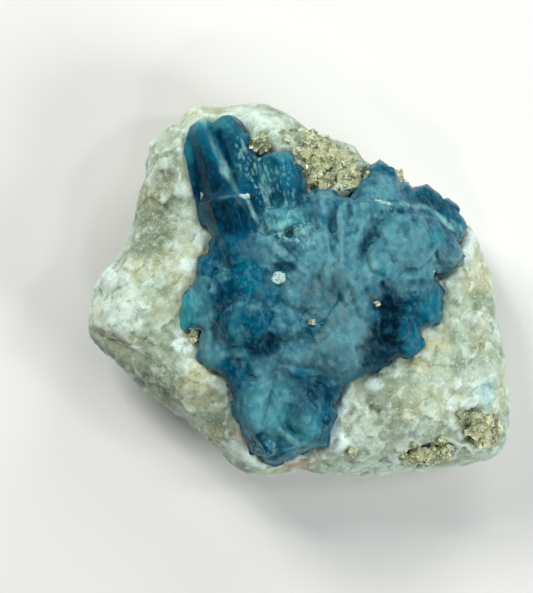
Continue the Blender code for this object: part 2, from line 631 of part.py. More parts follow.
def make_inclusions(surface, parts, helpers, grow=0.0, suffix=""):
    """Pyrite and calcite, as solids or, grown by the gap, as the beds they lie in."""
    made = [druse("pyrite_druse" + suffix, surface, parts, helpers, grow)]
    for name, centre, half, turn, count, size in PYRITE_NESTS:
        made.append(nest(name + suffix, surface, centre, half, turn, count, size, parts, grow))
    for name, centre, size in PYRITE_SPECKS:
        made.append(speck(name + suffix, surface, centre, size, parts, grow))
    for number, (name, centre, half, turn) in enumerate(CALCITE_GRAINS):
        made.append(grain(name + suffix, surface, centre, half, turn, parts, grow, number))
    return made


def centre_over_origin(objects):
    corners = [vertex.co for obj in objects for vertex in obj.data.vertices]
    low = Vector([min(corner[axis] for corner in corners) for axis in range(3)])
    high = Vector([max(corner[axis] for corner in corners) for axis in range(3)])
    shift = Matrix.Translation((-(low.x + high.x) / 2, -(low.y + high.y) / 2, -low.z))
    for obj in objects:
        obj.data.transform(shift)


def main():
    clear_scene()
    parts = new_collection("afghanite_crystal_cluster")
    helpers = new_collection("helpers")
    beds = new_collection("beds")
    root_bed = new_collection("root_bed")

    rock = make_rock(helpers)
    ground = Ground([rock])
    cluster = make_cluster("afghanite_cluster", ground, parts, helpers)
    make_helper(make_cluster("cluster_bed", ground, root_bed, helpers, False, BED_GAP))
    surface = Ground([rock, cluster])
    inclusions = make_inclusions(surface, parts, helpers)
    for bed in make_inclusions(surface, beds, helpers, grow=BED_GAP, suffix="_bed"):
        make_helper(bed)

    rock.name = "matrix"
    helpers.objects.unlink(rock)
    parts.objects.link(rock)
    # Each solid gets a bed for everything that lies in it.
    apply_boolean(rock, "DIFFERENCE", root_bed)
    apply_boolean(rock, "DIFFERENCE", beds)
    cut_flat_base(rock)
    apply_boolean(cluster, "DIFFERENCE", beds)
    centre_over_origin([rock, cluster] + inclusions)

    marble = principled("white marble", (0.60, 0.68, 0.60), 0.55)
    afghanite = principled("blue afghanite", (0.04, 0.16, 0.24), 0.22)
    pyrite = principled("pyrite", (0.52, 0.42, 0.22), 0.35, metallic=1.0)
    calcite = principled("white calcite", (0.78, 0.82, 0.74), 0.45)
    for obj in [rock, cluster] + inclusions:
        if obj is rock:
            material = marble
        elif obj is cluster:
            material = afghanite
        elif obj.name.startswith("calcite"):
            material = calcite
        else:
            material = pyrite
        obj.data.materials.clear()
        obj.data.materials.append(material)
        print(obj.name, sum(len(polygon.vertices) - 2 for polygon in obj.data.polygons))


main()
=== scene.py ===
import math
import random

import bmesh
import bpy
import numpy as np
from mathutils import Matrix, Vector, noise
from mathutils.bvhtree import BVHTree
from mathutils.kdtree import KDTree


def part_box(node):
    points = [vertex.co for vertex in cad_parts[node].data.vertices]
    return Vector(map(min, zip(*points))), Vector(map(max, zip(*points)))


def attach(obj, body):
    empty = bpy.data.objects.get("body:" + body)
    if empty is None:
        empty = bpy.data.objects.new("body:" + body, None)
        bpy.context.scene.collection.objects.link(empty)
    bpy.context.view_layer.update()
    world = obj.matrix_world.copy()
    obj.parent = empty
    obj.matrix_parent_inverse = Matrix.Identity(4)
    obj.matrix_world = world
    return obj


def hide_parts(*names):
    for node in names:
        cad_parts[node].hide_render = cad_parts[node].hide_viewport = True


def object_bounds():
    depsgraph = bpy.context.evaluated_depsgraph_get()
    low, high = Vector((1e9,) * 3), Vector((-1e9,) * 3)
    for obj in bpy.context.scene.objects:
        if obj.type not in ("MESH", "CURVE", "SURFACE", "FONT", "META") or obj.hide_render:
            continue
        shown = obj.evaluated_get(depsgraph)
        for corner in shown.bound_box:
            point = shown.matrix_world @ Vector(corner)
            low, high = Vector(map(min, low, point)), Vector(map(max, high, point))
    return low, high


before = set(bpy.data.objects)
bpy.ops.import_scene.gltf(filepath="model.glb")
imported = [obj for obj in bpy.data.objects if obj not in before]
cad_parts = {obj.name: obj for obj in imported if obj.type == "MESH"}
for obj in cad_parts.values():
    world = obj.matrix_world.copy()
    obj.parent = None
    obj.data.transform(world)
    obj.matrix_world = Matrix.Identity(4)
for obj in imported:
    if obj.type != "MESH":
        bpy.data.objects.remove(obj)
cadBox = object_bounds()
mm = 0.001

# The stone seen from above: one pixel of the photograph is 0.075 mm, and this pixel is x = 0, y = 0.
photo = {"pixel": 0.075 * mm, "middle": (300, 290)}


def fromPhoto(column, row):
    return (column - photo["middle"][0]) * photo["pixel"], (photo["middle"][1] - row) * photo["pixel"]


# meshes

def solid(name):
    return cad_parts[name].data


def welded(part):
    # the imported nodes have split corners
    bm = bmesh.new()
    bm.from_mesh(solid(part))
    bmesh.ops.remove_doubles(bm, verts=bm.verts, dist=0.002 * mm)
    return bm


def meshOf(bm, name):
    mesh = bpy.data.meshes.new(name)
    bm.to_mesh(mesh)
    bm.free()
    return mesh


def treeOf(meshes):
    bm = bmesh.new()
    for mesh in meshes:
        bm.from_mesh(mesh)
    tree = BVHTree.FromBMesh(bm)
    bm.free()
    return tree


def under(tree, x, y):
    # the first surface met from above
    return tree.ray_cast(Vector((x, y, 0.03)), Vector((0, 0, -1)))


def newObject(name, mesh):
    obj = bpy.data.objects.new(name, mesh)
    bpy.context.scene.collection.objects.link(obj)
    return obj


def applied(obj):
    graph = bpy.context.evaluated_depsgraph_get()
    mesh = bpy.data.meshes.new_from_object(obj.evaluated_get(graph))
    obj.modifiers.clear()
    obj.data = mesh
    return mesh


def remeshed(obj, voxel, smoothing=0):
    modifier = obj.modifiers.new("remesh", "REMESH")
    modifier.mode = "VOXEL"
    modifier.voxel_size = voxel
    if smoothing:
        modifier = obj.modifiers.new("smooth", "SMOOTH")
        modifier.factor = 0.5
        modifier.iterations = smoothing
    mesh = applied(obj)
    mesh.shade_smooth()
    return mesh


def points(mesh, field="co"):
    flat = np.empty(len(mesh.vertices) * 3)
    mesh.vertices.foreach_get(field, flat)
    return flat.reshape(-1, 3)


def setPoints(mesh, values):
    mesh.vertices.foreach_set("co", values.reshape(-1))
    mesh.update()


def edgesOf(mesh):
    flat = np.empty(len(mesh.edges) * 2, int)
    mesh.edges.foreach_get("vertices", flat)
    return flat.reshape(-1, 2)


def neighbourMean(values, edges):
    total = np.zeros_like(values)
    count = np.zeros(len(values))
    for a, b in ((0, 1), (1, 0)):
        np.add.at(total, edges[:, a], values[edges[:, b]])
        np.add.at(count, edges[:, a], 1)
    return total / np.maximum(count, 1).reshape((-1,) + (1,) * (values.ndim - 1))


def bulge(mesh, passes):
    # above 0 on ridges and below 0 in grooves, in metres
    edges = edgesOf(mesh)
    where = points(mesh)
    soft = where
    for _ in range(passes):
        soft = neighbourMean(soft, edges)
    return ((where - soft) * points(mesh, "normal")).sum(1)


def noiseAt(where, scale, octaves=3, seed=0.0):
    shift = Vector((seed, 2.3 * seed, -1.7 * seed))
    return np.array([noise.fractal(Vector(p) / scale + shift, 1.0, 2.1, octaves) for p in where])


def paint(mesh, name, values):
    attribute = mesh.attributes.new(name, "FLOAT", "POINT")
    attribute.data.foreach_set("value", np.clip(values, 0, 1).astype(np.float32))


def patches(where, spots, wobble, edge=1.0):
    # soft patches seen from above: column, row, half-width and half-height in pixels, turn in degrees
    # and strength
    total = np.zeros(len(where))
    for column, row, wide, high, turn, strength in spots.values():
        x, y = fromPhoto(column, row)
        dx, dy = where[:, 0] - x, where[:, 1] - y
        c, s = math.cos(math.radians(turn)), math.sin(math.radians(turn))
        across = (dx * c + dy * s) / (wide * photo["pixel"])
        along = (-dx * s + dy * c) / (high * photo["pixel"])
        reach = np.sqrt(across**2 + along**2) * (1 + wobble)
        share = np.clip((1 - reach) / edge + 0.5, 0, 1)
        total = total + strength * share * share * (3 - 2 * share)
    return total


def brokenFaces(where, cell, seed, stretch=(1, 1, 1)):
    # Each point belongs to its nearest seed, and each seed has a plane of its own: how far that plane
    # lies out at the point, as a share of the cell, and the seed's own random step
    picker = np.random.default_rng(seed)
    scaled = where / np.array(stretch)
    low, high = scaled.min(0) - cell, scaled.max(0) + cell
    counts = np.ceil((high - low) / cell).astype(int)
    boxes = np.stack(np.meshgrid(*[np.arange(n) for n in counts], indexing="ij"), -1).reshape(-1, 3)
    used = np.unique(((scaled - low) / cell).astype(int), axis=0)
    wanted = {tuple(box + offset) for box in used for offset in np.ndindex(3, 3, 3)}
    offsets = picker.random(boxes.shape)
    keep = [i for i, box in enumerate(boxes) if tuple(box + 1) in wanted]
    seeds = low + (boxes[keep] + offsets[keep]) * cell
    tree = KDTree(len(seeds))
    for number, place in enumerate(seeds):
        tree.insert(place, number)
    tree.balance()
    tilts = picker.normal(size=(len(seeds), 3))
    tilts /= np.linalg.norm(tilts, axis=1)[:, None]
    steps = picker.uniform(-1, 1, len(seeds))
    owner = np.array([tree.find(place)[1] for place in scaled])
    lean = ((scaled - seeds[owner]) * tilts[owner]).sum(1) / cell
    return lean, steps[owner]


# node trees

def newMaterial(name):
    material = bpy.data.materials.new(name)
    material.use_nodes = True
    tree = material.node_tree
    return material, tree, tree.nodes["Principled BSDF"]


def node(tree, kind, **values):
    made = tree.nodes.new("ShaderNode" + kind)
    for key, value in values.items():
        if hasattr(made, key):
            setattr(made, key, value)
        else:
            made.inputs[key.replace("_", " ")].default_value = value
    return made


def attribute(tree, name):
    return node(tree, "Attribute", attribute_name=name).outputs["Fac"]


def noiseNode(tree, scale, detail=4.0, rough=0.55, distort=0.0):
    # scale is the size of a lump in millimetres
    coordinates = node(tree, "TexCoord").outputs["Object"]
    made = node(tree, "TexNoise", Scale=1.0 / (scale * mm), Detail=detail, Roughness=rough)
    made.inputs["Distortion"].default_value = distort
    tree.links.new(coordinates, made.inputs["Vector"])
    return made.outputs["Fac"]


def ranged(tree, value, low, high, toLow=0.0, toHigh=1.0):
    made = node(tree, "MapRange", interpolation_type="SMOOTHSTEP")
    for socket, number in (("From Min", low), ("From Max", high), ("To Min", toLow), ("To Max", toHigh)):
        made.inputs[socket].default_value = number
    tree.links.new(value, made.inputs["Value"])
    return made.outputs["Result"]


def maths(tree, operation, first, second):
    made = node(tree, "Math", operation=operation)
    for socket, value in zip(made.inputs, (first, second)):
        if isinstance(value, (int, float)):
            socket.default_value = value
        else:
            tree.links.new(value, socket)
    return made.outputs["Value"]


def mixed(tree, share, first, second):
    made = node(tree, "Mix", data_type="RGBA")
    for socket, value in ((made.inputs[0], share), (made.inputs[6], first), (made.inputs[7], second)):
        if isinstance(value, tuple):
            socket.default_value = (*value, 1)
        elif isinstance(value, float):
            socket.default_value = value
        else:
            tree.links.new(value, socket)
    return made.outputs[2]


def bumped(tree, shader, heights, distance):
    made = node(tree, "Bump", Distance=distance, Strength=1.0)
    tree.links.new(heights, made.inputs["Height"])
    tree.links.new(made.outputs["Normal"], shader.inputs["Normal"])


# the marble

marbleStone = {
    "voxel": 0.170 * mm,
    "centre": (0.0, -0.5 * mm, 5.2 * mm),
    "castFrom": 60 * mm,
    "lowestBed": 3 * mm,
    "bedReach": 0.42 * mm,
    "rimWidth": 1 * mm,
    "bedDepth": 1.3 * mm,
    "bedSlope": 0.7,
    "bedRounds": 3,
    "bedSmoothing": 25,
    "leastRise": 0.12,
    "typicalReach": 10 * mm,
    "lumps": (1.7 * mm, 0.17 * mm),
    "knobs": (0.75 * mm, 0.075 * mm),
    "faces": (1.15 * mm, 0.12 * mm, 0.045 * mm),
    "grains": (0.40 * mm, 0.036 * mm, 0.020 * mm),
    "coarser": (3.2 * mm, 0.75, 0.6, 0.3, 1.3),
    "restFade": (0.05 * mm, 0.7 * mm),
    "edgeMargin": 0.35 * mm,
    "base": (0.49, 0.61, 0.475),
    "shade": (0.26, 0.335, 0.225),
    "olive": (0.15, 0.185, 0.105),
    "cream": (0.62, 0.58, 0.30),
    "chalk": (0.76, 0.92, 0.86),
    "blush": (0.50, 0.38, 0.27),
    "blueStain": (0.33, 0.60, 0.68),
    "roughness": (0.42, 0.72),
    "shine": 0.4,
    "glow": 0.25,
    "glowDepth": 0.5 * mm,
    "bump": 0.05 * mm,
    # size in millimetres, detail and roughness
    "cloudNoise": (2.4, 5, 0.6),
    "sugarNoise": (0.16, 3, 0.7),
    "fleckNoise": (0.50, 6, 0.7),
    "gritNoise": (0.30, 5, 0.75),
}
marbleClouds = {
    "wobble": 0.35,
    "wobbleSize": 0.9 * mm,
    "broadSize": 3.4 * mm,
    "whiteSize": 2.1 * mm,
    "topFrom": (-0.35, 0.5),
    "olive": 0.8,
    "creamAbove": 0.1,
    "chalkAbove": 0.25,
    # smoothing passes and the depth that counts as full
    "grooves": (3, 0.10 * mm),
    "hollows": (12, 0.32 * mm),
}
oliveSpots = {
    "leftUpper": (152, 200, 20, 42, 8, 0.85),
    "leftShoulder": (168, 170, 14, 22, 0, 0.5),
    "leftMiddle": (160, 252, 16, 16, 0, 0.5),
    "bulgeFoot": (118, 330, 26, 16, -30, 0.35),
    "lowerLeft": (165, 378, 34, 20, -35, 0.75),
    "lowerLeftRim": (215, 425, 22, 12, -45, 0.65),
    "nearDruse": (330, 170, 38, 24, -30, 0.5),
    "underDruse": (300, 150, 22, 14, 0, 0.35),
    "rightMiddle": (480, 330, 16, 30, 0, 0.45),
    "cornerNest": (480, 428, 24, 20, 0, 0.7),
    "lowerBand": (425, 457, 36, 12, 0, 0.6),
    "lowerRight": (395, 420, 20, 16, 0, 0.4),
    "besideBlue": (438, 330, 12, 10, 0, 0.4),
    "lowSpeck": (350, 454, 9, 6, 0, 0.6),
    "sideGrain": (192, 334, 8, 6, 0, 0.7),
    "rightRim": (500, 400, 10, 34, 0, 0.4),
    "lowRight": (440, 405, 50, 45, 0, 0.22),
    "topRim": (300, 115, 60, 14, -12, 0.2),
}
creamSpots = {
    "rightShoulder": (478, 280, 18, 14, 0, 0.7),
    "lowerLeftEdge": (203, 370, 12, 12, 0, 1.2),
    "rightOfLobe": (414, 360, 22, 8, -30, 0.7),
    "topRim": (208, 108, 18, 8, 0, 0.5),
    "leftOfMass": (182, 278, 12, 8, 0, 0.8),
    "middleRight": (430, 345, 14, 10, 0, 0.45),
    "druseFoot": (337, 193, 12, 5, 0, 0.6),
    "lowRight": (440, 400, 24, 18, 0, 0.35),
    "leftLow": (180, 300, 8, 12, 0, 0.4),
}
chalkSpots = {
    # whiter marble, and painted light where the lamp from the upper left falls on the left bulge
    "litLeftBulge": (118, 300, 24, 32, 20, 0.6),
    "besideMass": (189, 265, 8, 7, 0, 1.5),
    "underPrism": (197, 240, 4, 14, 15, 0.9),
    "stubWedge": (306, 204, 9, 8, 0, 1.4),
    "hornFoot": (383, 204, 8, 4, 0, 0.8),
    "belowLobe": (184, 346, 9, 8, 0, 1.6),
    "bottomRight": (338, 402, 9, 15, 0, 1.3),
    "drop": (338, 440, 10, 9, 0, 1.8),
    "streak": (330, 424, 5, 13, 25, 1.6),
    "crumb": (347, 408, 6, 6, 0, 0.8),
    # whiter marble, and painted light on the top edge
    "litTopEdge": (255, 118, 30, 10, -15, 0.5),
    "rightEdge": (470, 245, 7, 18, -20, 0.8),
    "edgeOfLobe": (373, 384, 9, 6, 0, 0.8),
    "lowerRim": (240, 452, 16, 8, -40, 0.6),
    "bottomEdge": (380, 470, 60, 8, 0, 0.4),
    "rightLow": (470, 380, 14, 18, 0, 0.35),
}
blushSpots = {
    "leftPatch": (243, 437, 9, 5, -20, 1.0),
    "underTip": (303, 462, 20, 6, 15, 0.8),
    "besidePrism": (203, 222, 4, 9, 10, 0.5),
    "rimBrown": (150, 400, 16, 6, -40, 0.4),
    "lowerRimBrown": (200, 436, 16, 5, -40, 0.35),
}
# places that lie higher, in millimetres
swellSpots = {
    "betweenDruseAndHorn": (343, 188, 8, 7, 0, 0.9),
}
blueStainSpots = {
    "rightStain": (486, 393, 9, 14, 0, 0.6),
    "sliver": (334, 426, 3, 8, 0, 1.0),
    "cornerStain": (487, 415, 6, 6, 0, 0.4),
    "drusePool": (318, 166, 10, 7, 0, 0.8),
}


carrying = {"softness": 0.15 * mm, "power": 2.4, "batch": 800}


def carried(at, known, values):
    # values carried across a bed from the known places round it, the nearest counting most
    result = np.empty(len(at))
    for start in range(0, len(at), carrying["batch"]):
        part = slice(start, start + carrying["batch"])
        gap = ((at[part, None, :] - known[None, :, :]) ** 2).sum(2)
        weight = 1.0 / (gap + carrying["softness"] ** 2) ** carrying["power"]
        result[part] = (weight * values).sum(1) / weight.sum(1)
    return result


def keptInside(where, margin):
    # eases what comes near the solids' box back into it
    low, high = (np.array(corner) for corner in cadBox)
    middle, half = (low + high) / 2, (high - low) / 2
    offset = where - middle
    over = np.maximum(np.abs(offset) - (half - margin), 0)
    eased = np.abs(offset) - over + margin * np.tanh(over / margin)
    eased[:, 2] = np.where(offset[:, 2] > 0, eased[:, 2], -offset[:, 2])
    return middle + np.sign(offset) * eased


def castMarble():
    # an even mesh laid over the solid from outside, and which of its points lie in a bed
    stone = marbleStone
    others = [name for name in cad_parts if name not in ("matrix", "afghanite_cluster")]
    matrixTree = treeOf([solid("matrix")])
    crystalTree = treeOf([solid("afghanite_cluster")])
    grainTree = treeOf([solid(name) for name in others])
    centre = Vector(stone["centre"])
    low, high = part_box("matrix")
    half = (high - low) / 2
    bm = bmesh.new()
    bmesh.ops.create_icosphere(bm, subdivisions=7, radius=1.0)
    inBed, covered, beside = (np.zeros(len(bm.verts), bool) for _ in range(3))
    for number, vert in enumerate(bm.verts):
        way = Vector((vert.co.x * half.x, vert.co.y * half.y, vert.co.z * half.z)).normalized()
        hit = matrixTree.ray_cast(centre + way * stone["castFrom"], -way)[0]
        vert.co = hit
        if hit.z < stone["lowestBed"]:
            continue
        inBed[number] = any(tree.find_nearest(hit, stone["bedReach"])[0] for tree in (crystalTree, grainTree))
        covered[number] = under(crystalTree, hit.x, hit.y)[0] is not None
        near = crystalTree.find_nearest(hit, stone["rimWidth"])[0] is not None
        beside[number] = near and not covered[number]
    return meshOf(bm, "marbleStone"), inBed, covered, beside


def fillBeds(mesh, inBed, covered, beside):
    # The marble is carried across each bed from round it: outwards from the stone's centre where the bed
    # is open, and by height where crystals cover it, with a dish that deepens away from their rim.
    stone = marbleStone
    centre = np.array(stone["centre"])
    where = points(mesh)
    edges = edgesOf(mesh)
    ring = (neighbourMean(inBed.astype(float), edges) > 0) & ~inBed
    reach = np.linalg.norm(where - centre, axis=1)
    ways = (where - centre) / reach[:, None]
    uncovered = inBed & ~covered
    radius = stone["typicalReach"]
    reach[uncovered] = carried(ways[uncovered] * radius, ways[ring] * radius, reach[ring])
    ways, reach, covered = ways[inBed], reach[inBed], covered[inBed]
    rimTree = KDTree(int(beside.sum()))
    for number, place in enumerate(where[beside]):
        rimTree.insert((place[0], place[1], 0), number)
    rimTree.balance()
    rise = np.maximum(ways[:, 2], stone["leastRise"])
    byReach = (ways[:, 2] < stone["leastRise"]) | ~covered
    for _ in range(stone["bedRounds"]):
        at = centre + ways * reach[:, None]
        fromRim = np.array([rimTree.find((x, y, 0))[2] for x, y, z in at])
        dish = np.minimum(stone["bedDepth"], stone["bedSlope"] * fromRim) * covered
        height = carried(at[:, :2], where[ring, :2], where[ring, 2]) - dish
        reach = np.where(byReach, reach, (height - centre[2]) / rise)
    where[inBed] = centre + ways * reach[:, None]
    for _ in range(stone["bedSmoothing"]):
        where[inBed] = neighbourMean(where, edges)[inBed]
    setPoints(mesh, where)


def roughenMarble(mesh):
    stone = marbleStone
    where = points(mesh)
    normal = points(mesh, "normal")
    level, height = stone["restFade"]
    fade = np.clip((where[:, 2] - level) / height, 0, 1)
    size, lump = stone["lumps"]
    out = lump * noiseAt(where, size, octaves=2, seed=4.0)
    size, knob = stone["knobs"]
    out += knob * noiseAt(where, size, octaves=2, seed=14.0)
    size, lean, step = stone["faces"]
    slope, lift = brokenFaces(where, size, seed=3)
    out += lean * slope + step * lift
    size, lean, step = stone["grains"]
    slope, lift = brokenFaces(where, size, seed=8)
    size, mean, swing, least, most = stone["coarser"]
    coarser = np.clip(mean + swing * noiseAt(where, size, octaves=2, seed=9.0), least, most)
    out += (lean * slope + step * lift) * coarser
    out += patches(where, swellSpots, 0) * mm * np.clip(normal[:, 2], 0, 1)
    setPoints(mesh, keptInside(where + normal * (out * fade)[:, None], stone["edgeMargin"]))


def stainMarble(mesh):
    # Stains named by place lie on the top, the chalk on the left bulge and the top edge partly painted light,
    # and broad clouds of olive, cream and chalk go all round.
    clouds = marbleClouds
    where = points(mesh)
    wobble = clouds["wobble"] * noiseAt(where, clouds["wobbleSize"], seed=2.0)
    least, width = clouds["topFrom"]
    top = np.clip((points(mesh, "normal")[:, 2] - least) / width, 0, 1)
    broad = noiseAt(where, clouds["broadSize"], seed=6.0)
    white = noiseAt(where, clouds["whiteSize"], seed=12.0)
    oliveCloud = np.clip(broad * clouds["olive"] + 0.05, 0, 0.7) * (1.35 - top)
    creamCloud = np.clip(-broad - clouds["creamAbove"], 0, 0.6)
    chalkCloud = np.clip(white - clouds["chalkAbove"], 0, 0.6)
    paint(mesh, "olive", patches(where, oliveSpots, wobble) * top + oliveCloud)
    paint(mesh, "cream", patches(where, creamSpots, wobble) * top + creamCloud)
    paint(mesh, "chalk", patches(where, chalkSpots, wobble, edge=0.5) * top + chalkCloud)
    paint(mesh, "blush", patches(where, blushSpots, wobble, edge=0.7) * top)
    paint(mesh, "blueStain", patches(where, blueStainSpots, wobble) * top)
    passes, depth = clouds["grooves"]
    paint(mesh, "grooves", 0.5 - bulge(mesh, passes) / depth)
    passes, depth = clouds["hollows"]
    paint(mesh, "hollows", 0.5 - bulge(mesh, passes) / depth)


def buildMarble():
    print("marble")
    mesh, inBed, covered, beside = castMarble()
    fillBeds(mesh, inBed, covered, beside)
    obj = newObject("marbleStone", mesh)
    mesh = remeshed(obj, marbleStone["voxel"], smoothing=1)
    roughenMarble(mesh)
    stainMarble(mesh)
    mesh.materials.append(marbleMaterial())
    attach(obj, "root")
    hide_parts("matrix")
    return obj


def marbleMaterial():
    stone = marbleStone
    material, tree, shader = newMaterial("sugary marble")
    clouds = noiseNode(tree, *stone["cloudNoise"])
    sugar = noiseNode(tree, *stone["sugarNoise"])
    flecks = noiseNode(tree, *stone["fleckNoise"])
    grit = noiseNode(tree, *stone["gritNoise"])
    hollows = attribute(tree, "hollows")
    colour = mixed(tree, ranged(tree, clouds, 0.38, 0.66), stone["base"], stone["shade"])
    # each stain is broken up by a noise; the chalk also carries the painted light of the left bulge and the
    # top edge
    stains = (
        ("olive", flecks, 0.38, 0.60, 0.25, 1.0),
        ("cream", flecks, 0.70, 0.35, 0.35, 0.9),
        ("chalk", clouds, 0.30, 0.60, 0.60, 1.0),
    )
    for stain, noisy, low, high, least, most in stains:
        share = maths(tree, "MULTIPLY", attribute(tree, stain), ranged(tree, noisy, low, high, least, most))
        colour = mixed(tree, share, colour, stone[stain])
    colour = mixed(tree, attribute(tree, "blush"), colour, stone["blush"])
    colour = mixed(tree, attribute(tree, "blueStain"), colour, stone["blueStain"])
    # olive laid into the grooves by their depth, and into random flecks
    grooveAndFleckOlive = maths(tree, "MULTIPLY", ranged(tree, attribute(tree, "grooves"), 0.5, 0.95), 0.30)
    grooveAndFleckOlive = maths(tree, "ADD", grooveAndFleckOlive, ranged(tree, flecks, 0.57, 0.72, 0.0, 0.40))
    layers = (
        (ranged(tree, hollows, 0.52, 0.90, 0.0, 0.48), "olive"),
        (ranged(tree, hollows, 0.45, 0.12, 0.0, 0.55), "chalk"),
        (grooveAndFleckOlive, "olive"),
        (ranged(tree, grit, 0.47, 0.34, 0.0, 0.55), "shade"),
        (ranged(tree, grit, 0.54, 0.68, 0.0, 0.60), "chalk"),
        (ranged(tree, sugar, 0.56, 0.70, 0.0, 0.35), "chalk"),
    )
    for share, stain in layers:
        colour = mixed(tree, share, colour, stone[stain])
    tree.links.new(colour, shader.inputs["Base Color"])
    smooth, rough = stone["roughness"]
    tree.links.new(ranged(tree, sugar, 0.35, 0.65, rough, smooth), shader.inputs["Roughness"])
    shader.inputs["Subsurface Weight"].default_value = stone["glow"]
    shader.inputs["Subsurface Radius"].default_value = (1.0, 1.0, 0.9)
    shader.inputs["Subsurface Scale"].default_value = stone["glowDepth"]
    shader.inputs["Specular IOR Level"].default_value = stone["shine"]
    heights = maths(tree, "ADD", sugar, maths(tree, "MULTIPLY", flecks, 1.4))
    bumped(tree, shader, heights, stone["bump"])
    return material


# the blue crystals

afghanite = {
    "voxel": 0.118 * mm,
    "axis": (0.372, -0.928),
    "groove": (1.0 * mm, 0.16 * mm),
    "boldGrooves": 3,
    "flatten": 0.5,
    "thinEdge": 0.45,
    "thickest": 2 * mm,
    "worn": 2,
    "topMargin": 0.45 * mm,
    "striations": (0.15 * mm, 0.020 * mm, 3.5 * mm),
    "faces": (1.60 * mm, 0.19 * mm, 0.045 * mm),
    "steps": (0.62 * mm, 0.028 * mm, 0.014 * mm),
    "etching": (0.30 * mm, 0.006 * mm),
    # how much less the faces and steps show on the prisms, and how soft the ridges are
    "smoother": (0.85, 0.80),
    "relief": (1.2, 0.8),
    "navy": (0.0010, 0.060, 0.145),
    "blue": (0.0015, 0.150, 0.270),
    "veil": (0.170, 0.510, 0.610),
    "pale": (0.36, 0.73, 0.80),
    "teal": (0.001, 0.200, 0.330),
    # painted light: the glow of light through thin crystal, and painted highlights on the stub
    "glow": (0.075, 0.540, 0.610),
    # the crystal's own deep navy, also used as painted shade in slits, clefts and hollows and as the block's
    # painted shadow
    "inkAndShade": (0.0004, 0.013, 0.036),
    "smoke": (0.190, 0.370, 0.400),
    # pale seams and chips of the crystal's own, and painted highlights on ridges and edges; the painted
    # glints use it too
    "seamAndHighlight": (0.40, 0.86, 0.86),
    "sheen": 0.08,
    "tint": (0.15, 0.80, 0.90),
    "polish": (0.15, 0.40),
    "transmission": 0.5,
    "ior": 1.52,
    "absorbs": (0.0, 0.86, 0.89),
    "density": 4500.0,
    "bump": 0.026 * mm,
    # size in millimetres, detail, roughness and distortion
    "hazeNoise": (0.60, 5, 0.60, 0.2),
    "cloudNoise": (1.6, 4, 0.55),
    "fineNoise": (0.13, 3, 0.6),
}
blueClouds = {
    "wobble": 0.35,
    "wobbleSize": 0.8 * mm,
    "mottleSize": 1.3 * mm,
    "grainSize": 0.6 * mm,
    "grainStretch": (0.7, 1.6, 0.9),
    "rowSize": 1.0 * mm,
    "rowStretch": (0.17, 0.55, 0.30),
    "rowShare": (0.10, 0.22),
    "inkGrain": 0.25,
    "inkLess": 0.10,
    "tealAbove": 0.2,
    "veilMottle": 0.65,
    "veilGrain": 0.35,
    # painted glints: how much shows everywhere off the prisms and the ink, and the least anywhere
    "paintedGlint": 0.10,
    "leastPaintedGlint": 0.03,
    "ridges": (4, 0.10 * mm),
}
# how the heights of the crystals' top are read
heightGrid = {
    "step": 0.16 * mm,
    "border": (0.65, 0.3),
    "borderDepth": 2 * mm,
    "seenDepth": (0.25 * mm, 1.3 * mm),
}
veilSpots = {
    "centre": (320, 285, 60, 45, 0, 0.55),
    "satinRight": (350, 240, 58, 48, 0, 1.0),
    "block": (410, 245, 32, 30, 0, 0.75),
    "blockLow": (410, 275, 30, 22, 0, 0.6),
    "hornFace": (381, 190, 18, 14, 0, 0.6),
    "steps": (285, 222, 22, 12, -10, 0.85),
    "leftEdge": (201, 312, 13, 42, 0, 0.85),
    "lowerLeft": (210, 355, 20, 20, 0, 0.5),
    "lowerMiddle": (305, 355, 60, 30, 0, 0.45),
    "bottomFacets": (264, 408, 24, 28, 0, 1.1),
    "bottomRight": (305, 425, 18, 26, 0, 0.55),
    "besideCrack": (262, 250, 14, 16, 0, 0.7),
    "prismTipLeft": (200, 124, 10, 8, 0, 0.55),
    "prismTipMiddle": (222, 124, 12, 8, 0, 0.45),
    "stubFoot": (283, 214, 20, 6, 0, 0.5),
    "midLow": (345, 330, 18, 14, 0, 0.5),
    "belowBlock": (352, 345, 16, 12, 0, 0.4),
    "smallStub": (300, 240, 12, 12, 0, 0.5),
    "greenBlock": (450, 256, 14, 16, 0, 0.35),
}
